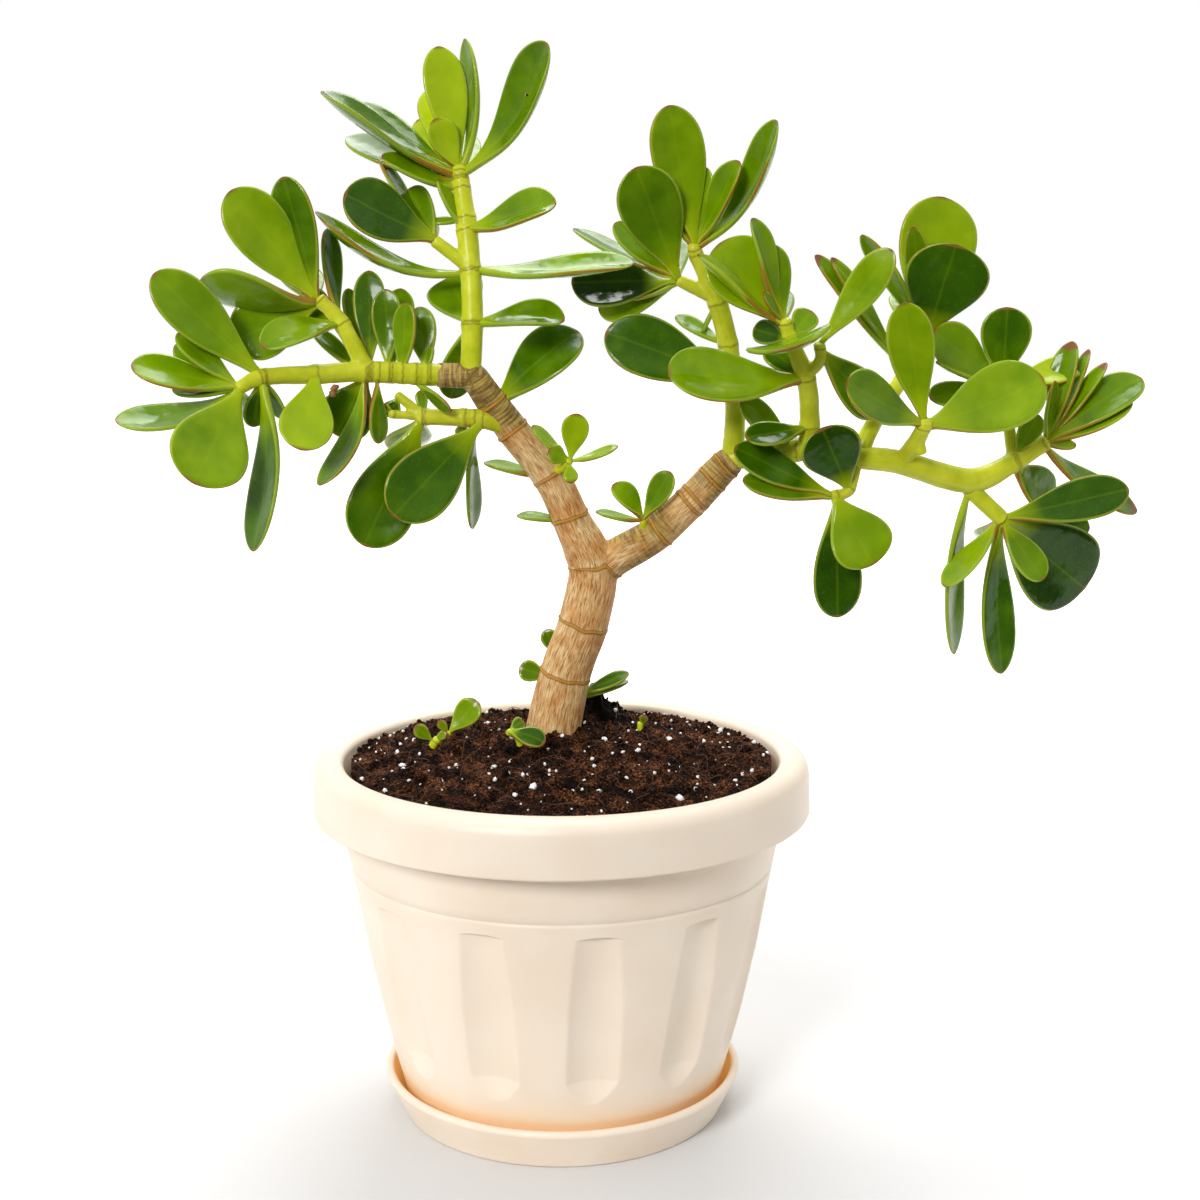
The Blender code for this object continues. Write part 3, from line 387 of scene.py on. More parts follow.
rim = np.concatenate([
    arc((OPENING_RADIUS + 3.0, RIM_TOP - 3.0), 3.0, 178, 92, 8),
    arc((SKIRT_RADIUS - 6.6, RIM_TOP - 6.0), 6.0, 88, 8, 12),
    resample(np.array([[SKIRT_RADIUS - 0.4, RIM_TOP - 8.0], [SKIRT_RADIUS, SKIRT_BOTTOM + 1.6]]), 4.0),
    arc((SKIRT_RADIUS - 1.0, SKIRT_BOTTOM + 1.0), 1.0, 0, -90, 5),
    [[body_radius(SKIRT_BOTTOM) + 0.6, SKIRT_BOTTOM], [body_radius(SKIRT_BOTTOM), SKIRT_BOTTOM + 0.3]],
])
foot = np.concatenate([
    arc((BODY_RADII[0] - 2.4, POT_BOTTOM + 2.4), 2.4, -5, -90, 6),
    [[DRAIN_RADIUS + 0.5, POT_BOTTOM], [DRAIN_RADIUS, POT_BOTTOM + 0.5], [DRAIN_RADIUS, POT_FLOOR]],
])
inner_z = np.linspace(POT_FLOOR, RIM_TOP - 12, 12)
inside = np.stack([np.minimum(body_radius(inner_z) - WALL, OPENING_RADIUS), inner_z], 1)
inside = np.concatenate([inside, [[OPENING_RADIUS, RIM_TOP - 5.5]]])
section = np.concatenate([rim, body, foot, inside])
rings = turn(section, POT_COLUMNS)
fluted = rings[len(rim):len(rim) + len(body)]
angle = np.degrees(np.arctan2(fluted[:, :, 1], fluted[:, :, 0])) + 90
step = 360 / FLUTE_COUNT
off = (angle + FLUTE_TURN + step / 2) % step - step / 2
out = np.linalg.norm(fluted[:, :, :2], axis=2)
fluted[:, :, :2] *= (1 - flute_depth(np.radians(off), body_z[:, None]) / out)[:, :, None]
# Painted warm light: amber on the pot's foot, fading out up the wall, and over its inner wall; the pot gets
# no painted glow.
painted_warm_light = np.clip((PAINTED_WARM_LIGHT_TOP - rings[:, :, 2].ravel()) / (PAINTED_WARM_LIGHT_TOP - SAUCER_HEIGHT), 0, 1) ** 2 * POT_PAINTED_WARM_LIGHT
painted_warm_light[-len(inside) * POT_COLUMNS:] = POT_PAINTED_WARM_LIGHT
faces = [part[:, ::-1] for part in hoop(len(rings), POT_COLUMNS)]
painted_bounce_light = {"painted_bounce_light": np.stack([painted_warm_light, 0 * painted_warm_light, 0 * painted_warm_light], 1)}
keep(show("pot_body", rings.reshape(-1, 3), faces, cream_plastic, painted_bounce_light), "pot")

# Soil: moist potting mix of dark peat and bark crumbs that fills the pot nearly to its rim and is heaped
# a little round the trunk. White grains of perlite and short brown fibres lie in it.
SOIL_EDGE = 143.6
SOIL_CROWN = 6.0
SOIL_LUMP = 1.3
# A mound's x and y, its height, and how far it reaches.
SOIL_HEAP = (-2.0, 16.0, 5.0, 22.0)
CLOD = (17.0, 42.0, 9.5, 10.5)
CRUMB_SIZES = (6.5, 3.2, 1.6, 1.0)
CRUMB_RISE = 0.28
SOIL_RINGS = 118
SOIL_COLUMNS = 420
CRUMB_COUNT = 2800
CRUMB_SIZE = 1.2
CRUMB_LIFT = 0.12
PERLITE_COUNT = 270
PERLITE_SIZE = 1.2
PERLITE_LARGEST = 3.0
PERLITE_LIFT = 0.22
FIBRE_COUNT = 260


def noise(points, size, seed):
    """Smooth random numbers from -1 to 1: random values stand on a cubic lattice of that spacing, and a
    point blends its eight neighbours with an ease curve."""
    table = np.random.default_rng(seed).uniform(-1, 1, (32, 32, 32))
    scaled = np.asarray(points) / size
    cell = np.floor(scaled).astype(int)
    part = scaled - cell
    ease = part * part * (3 - 2 * part)
    total = np.zeros(scaled.shape[:-1])
    for corner in np.ndindex(2, 2, 2):
        weight = np.prod(np.where(np.array(corner, bool), ease, 1 - ease), axis=-1)
        at = (cell + corner) % 32
        total += weight * table[at[..., 0], at[..., 1], at[..., 2]]
    return total


def soil_height(x, y):
    """The soil's surface: a flat crown that falls to the pot's wall, with lumps, a heap round the trunk
    and one clod, then crumbs of the CRUMB_SIZES from noise, which stand higher on the clod."""
    share = np.hypot(x, y) / OPENING_RADIUS
    lumps = np.sin(0.31 * x + 1.3) * np.cos(0.27 * y) + 0.6 * np.sin(0.55 * x + 0.48 * y)
    clod = CLOD[2] * np.exp(-(np.hypot(x - CLOD[0], y - CLOD[1]) / CLOD[3]) ** 4)
    heap = SOIL_HEAP[2] * np.exp(-(np.hypot(x - SOIL_HEAP[0], y - SOIL_HEAP[1]) / SOIL_HEAP[3]) ** 2)
    crown = SOIL_EDGE + SOIL_CROWN * (1 - share ** 4)
    flat = np.stack([x, y, 0 * x], -1)
    crumbs = sum(size * CRUMB_RISE * noise(flat, size, 11 + i) for i, size in enumerate(CRUMB_SIZES))
    ragged = crumbs * (1 + clod / 4)
    return crown + (SOIL_LUMP * lumps + clod + heap + ragged) * np.maximum(0, 1 - share ** 8)


def grains(centres, sizes, seed):
    """Rough grains, one at each centre: an icosahedron's twelve corners, each pushed in or out by chance,
    stretched unevenly and turned."""
    golden = (1 + math.sqrt(5)) / 2
    shape = np.array([[-1, golden, 0], [1, golden, 0], [-1, -golden, 0], [1, -golden, 0],
                      [0, -1, golden], [0, 1, golden], [0, -1, -golden], [0, 1, -golden],
                      [golden, 0, -1], [golden, 0, 1], [-golden, 0, -1], [-golden, 0, 1]]) / 1.9
    sides = np.array([[0, 11, 5], [0, 5, 1], [0, 1, 7], [0, 7, 10], [0, 10, 11], [1, 5, 9], [5, 11, 4],
                      [11, 10, 2], [10, 7, 6], [7, 1, 8], [3, 9, 4], [3, 4, 2], [3, 2, 6], [3, 6, 8],
                      [3, 8, 9], [4, 9, 5], [2, 4, 11], [6, 2, 10], [8, 6, 7], [9, 8, 1]])
    draw = np.random.default_rng(seed)
    count = len(centres)
    corners = shape * draw.uniform(0.75, 1.2, (count, 12, 1)) * draw.uniform(0.65, 1.2, (count, 1, 3))
    axes = np.linalg.qr(draw.normal(size=(count, 3, 3)))[0]
    axes[np.linalg.det(axes) < 0, :, 0] *= -1
    corners = np.einsum("nij,nkj->nki", axes, corners) * (np.asarray(sizes) / 2)[:, None, None]
    points = (corners + np.asarray(centres)[:, None, :]).reshape(-1, 3)
    return points, [(sides + 12 * np.arange(count)[:, None, None]).reshape(-1, 3)]


def scatter(draw, count, inset):
    """Places strewn evenly over the soil out to a margin from its edge, as x and y."""
    radius = (OPENING_RADIUS - inset) * np.sqrt(draw.uniform(0, 1, count))
    angle = draw.uniform(0, 2 * math.pi, count)
    return radius * np.cos(angle), radius * np.sin(angle)


# Moist peat is nearly black with red-brown crumbs, and quite matt. Its own crumbs are 0.9 mm and finer.
# The soil is darker on and round the clod.
peat, tree, shader = new_material("moist_peat_and_bark_mix", Roughness=0.92, Specular_IOR_Level=0.1)
PEAT_CRUMB = 0.9
PEAT_PATCH = 9.0
spot = add(tree, "TexCoord").outputs["Object"]
crumb = pattern(tree, spot, PEAT_CRUMB * MM, 3.0, Roughness=0.65)
patch = pattern(tree, spot, PEAT_PATCH * MM, 1.0)
tone = maths(tree, "MULTIPLY_ADD", patch, 0.5, crumb)
middle = (CLOD[0] * MM, CLOD[1] * MM, (SOIL_EDGE + SOIL_CROWN) * MM)
from_clod = add(tree, "VectorMath", {0: spot, 1: middle}, operation="DISTANCE").outputs["Value"]
tone = maths(tree, "MULTIPLY", tone, fade(tree, from_clod, 11 * MM, 17 * MM, 0.72))
tone = ramp(tree, tone, (0.63, "#050201"), (0.73, "#1e0e06"), (0.85, "#502d18"), (1.0, "#9a6642"))
wire(tree, shader, Base_Color=tone, Normal=bump(tree, crumb, 1.0, 0.0012))

side_z = np.linspace(POT_FLOOR + GAP, SOIL_EDGE - 1.0, 14)
side = np.stack([np.minimum(body_radius(side_z) - WALL, OPENING_RADIUS) - GAP, side_z], 1)
top_radius = (side[-1, 0] + 0.05) * np.linspace(1, 0, SOIL_RINGS, endpoint=False)
section = np.concatenate([side, np.stack([top_radius, SOIL_EDGE + 0 * top_radius], 1)])
rings = turn(section, SOIL_COLUMNS)
top = rings[len(side):]
top[:, :, 2] = soil_height(top[:, :, 0], top[:, :, 1])
pole = soil_height(np.zeros(1), np.zeros(1))[0]
points = np.concatenate([[[0, 0, POT_FLOOR + GAP]], rings.reshape(-1, 3), [[0, 0, pole]]])
keep(show("soil_bed", points, skin(len(rings), SOIL_COLUMNS), peat), "soil")

draw = np.random.default_rng(21)
x, y = scatter(draw, CRUMB_COUNT, 2.0)
size = draw.lognormal(math.log(CRUMB_SIZE), 0.4, CRUMB_COUNT)
points, faces = grains(np.stack([x, y, soil_height(x, y) + CRUMB_LIFT * size], 1), size, 22)
keep(show("soil_crumbs", points, faces, peat), "soil")

# Short peat fibres, thin as thread: each is a bent four-sided tube, tapered to both ends.
FIBRE_RADIUS = 0.16
start = np.stack(scatter(draw, FIBRE_COUNT, 8.0), 1)
heading = draw.uniform(0, 2 * math.pi, FIBRE_COUNT)
curl = draw.uniform(-1.1, 1.1, FIBRE_COUNT)
length = draw.uniform(4, 13, FIBRE_COUNT)
part = np.linspace(0, 1, 6)
turned = heading[:, None] + curl[:, None] * part
run = np.stack([np.cos(turned), np.sin(turned)], 2) * (length / 5)[:, None, None]
path = start[:, None, :] + np.cumsum(run, axis=1)
path *= np.minimum(1, (OPENING_RADIUS - 3) / np.linalg.norm(path, axis=2))[:, :, None]
arch = 0.25 + 0.9 * np.sin(math.pi * part) * draw.uniform(0, 1, (FIBRE_COUNT, 1))
lift = soil_height(path[:, :, 0], path[:, :, 1]) + arch
across = np.stack([-np.sin(turned), np.cos(turned)], 2)
thick = FIBRE_RADIUS * np.sqrt(np.sin(math.pi * (0.08 + 0.84 * part)))[:, None]
corner = math.pi / 2 * np.arange(4)
ring = path[:, :, None, :] + across[:, :, None, :] * (np.cos(corner)[:, None] * thick[:, None])
tall = lift[:, :, None] + np.sin(corner) * thick
rings = np.concatenate([ring, tall[..., None]], 3)
ends = [np.concatenate([path[:, i], lift[:, i, None]], 1) for i in (0, -1)]
points = np.concatenate([ends[0][:, None], rings.reshape(FIBRE_COUNT, -1, 3), ends[1][:, None]], 1)
faces = [(part[None] + points.shape[1] * np.arange(FIBRE_COUNT)[:, None, None]).reshape(-1, part.shape[1])
         for part in skin(6, 4)]
fibre, tree, shader = new_material("peat_fibre", Base_Color=linear("#5b3823"), Roughness=0.8)
keep(show("soil_fibres", points.reshape(-1, 3), faces, fibre), "soil")

# Perlite: volcanic glass puffed by heat into white crumbs, which catch the light against the peat.
perlite, tree, shader = new_material("expanded_perlite", Roughness=0.8, Subsurface_Weight=0.2,
                                     Subsurface_Radius=(1.0, 1.0, 1.0), Subsurface_Scale=0.0006)
spot = add(tree, "TexCoord").outputs["Object"]
dust = pattern(tree, spot, 1.2 * MM, 1.0)
wire(tree, shader, Base_Color=ramp(tree, dust, (0.25, "#dcd5ca"), (0.5, "#fbfaf7")))
x, y = scatter(draw, PERLITE_COUNT, 3.0)
size = np.minimum(draw.lognormal(math.log(PERLITE_SIZE), 0.45, PERLITE_COUNT), PERLITE_LARGEST)
points, faces = grains(np.stack([x, y, soil_height(x, y) + PERLITE_LIFT * size], 1), size, 23)
keep(show("perlite_grains", points, faces, perlite), "soil")

# Trunk: a stout woody stem that forks into two limbs, and the woody foot of the left arm. Jade wood is
# soft and swollen, in thin tan bark with fine lengthwise cracks and a raised ring where leaves once sat.
LEANS = (
    # from this (x, z), to this (x, z), depth gained on the way
    ((-45, 300), (-175, 300), -60.0),
    ((0, 330), (-75, 420), 30.0),
    ((10, 320), (90, 400), -30.0),
    ((95, 280), (225, 280), 62.0),
)
TRUNK = [
    # x, y, z and the radius there
    (-3, 16, 118, 12.4), (-3, 16, 140, 11.6), (-3.6, 16, 152, 11.2), (1.6, 16, 176, 10.4),
    (9.2, 15, 198, 10.2), (12.8, 14, 218, 9.8), (9.5, 13, 229, 9.0), (5, 12, 238, 7.8),
    (-4, 9, 257.5, 7.1), (-20, 5, 278, 6.6), (-31, 1, 294, 5.7), (-34, 0, 299, 5.0),
]
RIGHT_LIMB = [
    (12, 14, 216, 7.0), (22, 13, 224.5, 7.5), (38, 10, 234.5, 7.2), (52, 8, 248, 6.7), (64, 6, 261, 6.3),
    (68, 5, 265, 5.8),
]
LIMB_STUB = [(-34.5, 0, 296, 4.7), (-35, 0, 302, 4.5)]
WOODY_ARM = [(-33, 0, 298.3, 4.9), (-48, 0, 298.5, 4.6)]
TRUNK_RINGS = (175.2, 196.8, 222.0, 241.6, 258.3, 276.8, 288.0)
RIGHT_LIMB_RINGS = (222.5, 236.0, 247.5, 250.0, 257.0, 262.5)
RUN_STEP = 1.0
TRUNK_COLUMNS = 40
TRUNK_GRAIN = 0.75
TRUNK_RELAX = 8
BARK_RING_RISE = 0.5
BARK_RING_WIDTH = 0.6
FAR_FROM_RING = 9.0


def spread(points):
    """Move points of the flat spray in depth along the line of sight, so that it looks the same from the
    front: the depth eases in and out along each lean, and the point is scaled about the eye to match.
    Gives the new points and the scale."""
    points = np.asarray(points, float)
    depth = np.zeros(points.shape[:-1])
    for (x0, z0), (x1, z1), gain in LEANS:
        share = (points[..., 0] - x0) * (x1 - x0) + (points[..., 2] - z0) * (z1 - z0)
        share = np.clip(share / ((x1 - x0) ** 2 + (z1 - z0) ** 2), 0, 1)
        depth = depth + gain * share * share * (3 - 2 * share)
    scale = 1 + depth / (points[..., 1] - EYE[1])
    return EYE + (points - EYE) * scale[..., None], scale


def smooth_run(run, step):
    """Points about every step mm on the Catmull-Rom curve through a run's points, radius included."""
    moved, scale = spread(np.array(run)[:, :3])
    given = np.column_stack([moved, np.array(run)[:, 3] * scale])
    ends = np.vstack([2 * given[0] - given[1], given, 2 * given[-1] - given[-2]])
    parts = []
    for a, b, c, d in zip(ends, ends[1:], ends[2:], ends[3:]):
        count = max(1, round(float(np.linalg.norm(c[:3] - b[:3])) / step))
        t = (np.arange(count) / count)[:, None]
        parts.append(0.5 * (2 * b + (c - a) * t + (2 * a - 5 * b + 4 * c - d) * t * t
                            + (3 * b - a - 3 * c + d) * t ** 3))
    return np.concatenate(parts + [given[-1:]])


def directions(path):
    """Unit vectors along a path, and two across it at each point that turn as little as they can."""
    along = np.gradient(path[:, :3], axis=0)
    along /= np.linalg.norm(along, axis=1)[:, None]
    first = np.cross(along, (0.13, -1.0, 0.21))
    first /= np.linalg.norm(first, axis=1)[:, None]
    return along, first, np.cross(along, first)


def distances(path):
    """The distance along a path to each of its points."""
    return np.concatenate([[0], np.cumsum(np.linalg.norm(np.diff(path[:, :3], axis=0), axis=1))])


def sweep(path, columns):
    """A circle of each path point's own radius carried along the path, with both ends domed shut."""
    along, first, second = directions(path)
    angle = np.linspace(0, 2 * math.pi, columns, endpoint=False)[None, :, None]
    out = np.cos(angle) * first[:, None] + np.sin(angle) * second[:, None]
    rings = path[:, None, :3] + path[:, None, 3:] * out
    ends = [path[i, :3] + side * along[i] * path[i, 3] * 0.3 for i, side in ((0, -1), (-1, 1))]
    return np.concatenate([ends[:1], rings.reshape(-1, 3), ends[1:]]), skin(len(path), columns)


def merged(name, tubes, grain, rounds):
    """Overlapping tubes made one skin of that grain in mm: remeshed as one volume, then smoothed so that
    a limb grows out of its parent without a crease. Gives points and faces."""
    points, faces, start = [], [], 0
    for tube_points, tube_faces in tubes:
        points.append(tube_points)
        faces += [part + start for part in tube_faces]
        start += len(tube_points)
    draft = show(name + "_draft", np.concatenate(points), faces, None)
    remesh = draft.modifiers.new("one_volume", "REMESH")
    remesh.mode = "VOXEL"
    remesh.voxel_size = grain * MM
    relax = draft.modifiers.new("relax", "SMOOTH")
    relax.factor = 0.5
    relax.iterations = rounds
    mesh = draft.evaluated_get(bpy.context.evaluated_depsgraph_get()).to_mesh()
    points = np.empty(len(mesh.vertices) * 3)
    mesh.vertices.foreach_get("co", points)
    corners = np.empty(len(mesh.loops), int)
    mesh.loops.foreach_get("vertex_index", corners)
    assert len(corners) == 4 * len(mesh.polygons)
    bpy.data.objects.remove(draft, do_unlink=True)
    return points.reshape(-1, 3) / MM, [corners.reshape(-1, 4)]


def nearest(points, path):
    """For each point, the path sample that it stands nearest to for that sample's radius, and its
    distance from there as a share of the radius."""
    gaps = (points ** 2).sum(1)[:, None] - 2 * points @ path[:, :3].T + (path[:, :3] ** 2).sum(1)
    share = np.sqrt(np.maximum(gaps, 0)) / path[:, 3]
    index = np.argmin(share, axis=1)
    return index, share[np.arange(len(points)), index]


def limb_coordinates(points, paths):
    """For each point of a skin round several paths: its path, the unit vector out from it, the millimetres
    along it, and those with the two across as one vector, far apart for each path."""
    found = [nearest(points, path) for path in paths]
    owner = np.argmin(np.stack([share for _, share in found]), axis=0)
    index = np.stack([index for index, _ in found])[owner, np.arange(len(points))]
    out, length, lap = np.zeros_like(points), np.zeros(len(points)), np.zeros((len(points), 3))
    for i, path in enumerate(paths):
        mine = owner == i
        at = index[mine]
        along, first, second = directions(path)
        away = points[mine] - path[at, :3]
        away -= along[at] * (away * along[at]).sum(1)[:, None]
        away /= np.maximum(np.linalg.norm(away, axis=1), 1e-6)[:, None]
        out[mine] = away
        length[mine] = distances(path)[at] + ((points[mine] - path[at, :3]) * along[at]).sum(1)
        round_it = [(away * side[at]).sum(1) * path[at, 3] for side in (first, second)]
        lap[mine] = np.stack([*round_it, length[mine] + 1000 * i], 1)
    return owner, out, length, lap


# Jade bark is thin and matt: pale cream-tan, broken by short brown flecks that run lengthwise, warmer in
# patches, with a golden line at each ring and a dark brown band painted on both sides of it, painted
# shadow beside the raised ring. Where it is young and browned, fine bands run round it.
FLECK_WIDTH = 0.6
FLECK_LENGTH = 5.0
WARM_PATCH = 10.0
BAND_WIDTH = 1.0
RING_LINE = 0.58
bark, tree, shader = new_material("jade_bark", Roughness=0.6, Specular_IOR_Level=0.4)
lap = carried(tree, "lap")
from_ring, browned, _ = split(tree, carried(tree, "mark"))
fleck = stretch(tree, lap, 1.0, 1.0, FLECK_WIDTH / FLECK_LENGTH)
fleck = pattern(tree, fleck, FLECK_WIDTH, 4.0, Roughness=0.65)
wood = ramp(tree, fleck, (0.3, "#855529"), (0.39, "#bd9058"), (0.48, "#dcb67e"), (0.64, "#f8e2b8"))
warm = ramp(tree, pattern(tree, lap, WARM_PATCH, 2.0), (0.38, "#eab974"), (0.6, "#fff6e2"))
wood = blend(tree, 0.8, wood, warm, "MULTIPLY")
band = pattern(tree, stretch(tree, lap, 0.12, 0.12, 1.0), BAND_WIDTH, 2.0)
band = ramp(tree, band, (0.38, "#59430f"), (0.5, "#8d7428"), (0.62, "#b79f49"))
wood = blend(tree, browned, wood, band)
# Painted shadow: a dark brown band on both sides of each ring, where the raised ring would shade the bark.
wood = blend(tree, fade(tree, from_ring, RING_LINE, 2 * RING_LINE, 0.75, 0.0), wood, "#5f3d16")
wood = blend(tree, fade(tree, from_ring, 0.7 * RING_LINE, RING_LINE, 0.9, 0.0), wood, "#d39320")
wire(tree, shader, Base_Color=wood, Normal=bump(tree, fleck, 0.8, 0.0006))

paths = [smooth_run(run, RUN_STEP) for run in (TRUNK, RIGHT_LIMB, LIMB_STUB, WOODY_ARM)]
points, faces = merged("trunk", [sweep(path, TRUNK_COLUMNS) for path in paths], TRUNK_GRAIN, TRUNK_RELAX)
owner, out, length, lap = limb_coordinates(points, paths)
wander = noise(lap * (0.18, 0.18, 0.02), 1.0, 31)
from_ring = np.full(len(points), FAR_FROM_RING)
for i, heights in enumerate((TRUNK_RINGS, RIGHT_LIMB_RINGS)):
    places = np.interp(heights, paths[i][:, 2], distances(paths[i]))
    near = np.min(np.abs(length[:, None] + wander[:, None] - places), axis=1)
    from_ring = np.where(owner == i, np.minimum(near, FAR_FROM_RING), from_ring)
ring = np.exp(-(from_ring / BARK_RING_WIDTH) ** 2)
ridges = noise(lap * (1, 1, 0.12), 1.5, 32) * 0.22 + noise(lap * (1, 1, 0.3), 4.0, 33) * 0.3
points = points + out * (ridges * (1 - ring) + BARK_RING_RISE * ring)[:, None]

# The bark is browned on the stub and the arm, at the left limb's end, and in patches up the right limb.
limb_end = 0.85 * np.clip((points[:, 2] - 276) / 4, 0, 1) * (points[:, 0] < 0)
brown = np.where(owner >= 2, 0.8, limb_end)
patches = np.clip(2.2 * noise(lap, 14.0, 34) + 0.9 * (points[:, 2] - 240) / 20, 0, 1)
brown = np.where(owner == 1, 0.8 * patches, brown)
vectors = {"lap": lap, "mark": np.stack([from_ring, brown, 0 * brown], 1)}
keep(show("trunk_bark", points, faces, bark, vectors), "trunk")

# Left leader: the stem that goes on straight up from the end of the trunk's left limb to the crown. It is
# green and fleshy, ringed where old leaves fell, and a pair of thick leaves grows at each joint.

# Leaf: its neck's width as a share of its widest, the places of both as shares of its length, the usual
# bend and trough, its half thickness as a share of its width and added to that, and the least at its rim.
NECK = 0.15
WIDEST = 0.69
NECK_END = 0.06
USUAL = (0.03, 0.24)
THICK_SHARE = 0.055
THICK_LEAST = 1.1
THIN_EDGE = 0.3
LEAF_ROWS = 26
LEAF_COLUMNS = 20
LEAF_TRIM = 0.99
LEAF_SHIFT = 100.0
SMALL_LEAF = 8
STEM_COLUMNS = 24
STEM_GRAIN = 0.6
STEM_RELAX = 5
STEM_SWELL = 0.4
STEM_SWELL_WIDTH = 1.8
STEM_RING_DEPTH = 0.2
STEM_RING_WIDTH = 0.35
STEM_BUMPS = 0.08
JOINT_REACH = 6


def blade_half_width(s):
    """Half the blade's width as a share of its widest, at a share s of the way from root to tip: a
    narrow neck that swells to the widest place, then a round end."""
    rise = np.clip((s - NECK_END) / (WIDEST - NECK_END), 0, 1)
    swell = NECK + (1 - NECK) * np.sin(math.pi / 2 * rise) ** 1.35
    close = np.maximum(0, 1 - np.clip((s - WIDEST) / (1 - WIDEST), 0, 1) ** 2.3) ** 0.55
    return np.where(s < WIDEST, swell, close)


def blade(row, drift, twist, rows, columns):
    """One thick leaf. Its rings stand at shares s of the way from the stem to the tip, closer near the
    tip. A ring is a flat oval as wide as blade_half_width says; its sides rise from the middle in a
    trough, its middle bulges by the bend, and it twists a little on the way. Gives the points, where
    each is on the leaf in mm (across, along, in from the edge), and (tint, upper side, from the tip)."""
    joint, reach, width, face, tint, bend, trough = (*row, *USUAL[len(row) - 5:])
    tint += drift
    (joint, tip), scales = spread([joint, np.add(joint, reach)])
    tip = joint + LEAF_TRIM * (tip - joint)
    width = LEAF_TRIM * width * scales[0]
    length = np.linalg.norm(tip - joint)
    chord = (tip - joint) / length
    up = np.array(face) - chord * np.dot(face, chord)
    up /= np.linalg.norm(up)
    side = np.cross(up, chord)
    s = np.sin(math.pi / 2 * (np.arange(rows) + 0.4) / rows)[:, None]
    angle = np.linspace(0, 2 * math.pi, columns, endpoint=False)[None, :]
    across, over = np.cos(angle), np.sin(angle)
    half_width = width / 2 * blade_half_width(s)
    thickness = (THICK_SHARE * width + THICK_LEAST) * (0.85 - 0.3 * s) * np.sqrt(np.minimum(1, (1 - s) * 6))
    half = np.minimum(np.maximum(THIN_EDGE, thickness), half_width)
    lift = np.sign(over) * np.abs(over) ** 0.55 * half
    dish = 0.35 * np.abs(across) + 0.65 * across ** 2
    lift = lift + trough * width / 2 * blade_half_width(s) ** 2 * dish - bend * length * 4 * s * (1 - s)
    turn_by = twist * s
    u = across * half_width
    wide = u * np.cos(turn_by) - lift * np.sin(turn_by)
    high = u * np.sin(turn_by) + lift * np.cos(turn_by)
    rings = joint + chord * (s * length)[..., None] + side * wide[..., None] + up * high[..., None]
    points = np.concatenate([[joint - chord], rings.reshape(-1, 3), [tip]])
    along = s * length + 0 * across
    inner = np.minimum(half_width * (1 - np.abs(across)), (1 - s) * length)
    place = np.stack([u, along, inner], -1).reshape(-1, 3)
    upper = np.sign(over) * np.abs(over) ** 0.3
    kind = np.stack([tint + 0 * u, upper + 0 * u, length - along], -1).reshape(-1, 3)
    place = np.concatenate([[[0, 0, 1]], place, [[0, length, 0]]])
    kind = np.concatenate([[[tint, 0, length]], kind, [[tint, 0, 0]]])
    return points, place, kind


def foliage(name, leaves, seed, leaf_skin):
    """A shoot's leaves as one piece: each row's blade, small ones with fewer faces."""
    draw = np.random.default_rng(seed)
    points, places, kinds, faces, start = [], [], [], [], 0
    for row in leaves:
        rows, columns = (LEAF_ROWS, LEAF_COLUMNS) if row[2] > SMALL_LEAF else (16, 12)
        twist = math.radians(draw.uniform(-9, 9))
        leaf_points, place, kind = blade(row, draw.uniform(-0.06, 0.06), twist, rows, columns)
        points.append(leaf_points)
        places.append(place + [LEAF_SHIFT * len(points), 0, 0])
        kinds.append(kind)
        faces += [part + start for part in skin(rows, columns)]
        start += len(leaf_points)
    vectors = {"place": np.concatenate(places), "kind": np.concatenate(kinds)}
    return keep(show(name + "_leaves", np.concatenate(points), faces, leaf_skin, vectors), name)


def stalks(name, runs, joints, seed, stem_skin, age):
    """A shoot's stems as one piece: tubes along its runs, made one skin, swollen and ringed at each
    joint where leaves grow or grew."""
    paths = [smooth_run(run, RUN_STEP) for run in runs]
    points, faces = merged(name, [sweep(path, STEM_COLUMNS) for path in paths], STEM_GRAIN, STEM_RELAX)
    owner, out, length, lap = limb_coordinates(points, paths)
    ring, swell = np.zeros(len(points)), np.zeros(len(points))
    wander = 0.5 * noise(lap * (0.5, 0.5, 0.02), 1.0, seed + 50)
    for i, path in enumerate(paths):
        steps = distances(path)
        gaps = [np.linalg.norm(path[:, :3] - joint, axis=1) for joint in joints]
        marks = [steps[np.argmin(gap)] for gap in gaps if gap.min() < JOINT_REACH]
        marks = [place for place in marks if 3 < place < steps[-1] - 1]
        if marks:
            near = np.min(np.abs(length[:, None] + wander[:, None] - marks), axis=1)
            ring = np.where(owner == i, np.exp(-(near / STEM_RING_WIDTH) ** 2), ring)
            swell = np.where(owner == i, np.exp(-(near / STEM_SWELL_WIDTH) ** 2), swell)
    rise = STEM_SWELL * swell - STEM_RING_DEPTH * ring + STEM_BUMPS * noise(lap, 3.0, seed + 51)
    points = points + out * rise[:, None]
    vectors = {"lap": lap, "mark": np.stack([ring, age + 0 * ring, 0 * ring], 1)}
    return keep(show(name + "_stems", points, faces, stem_skin, vectors), name)


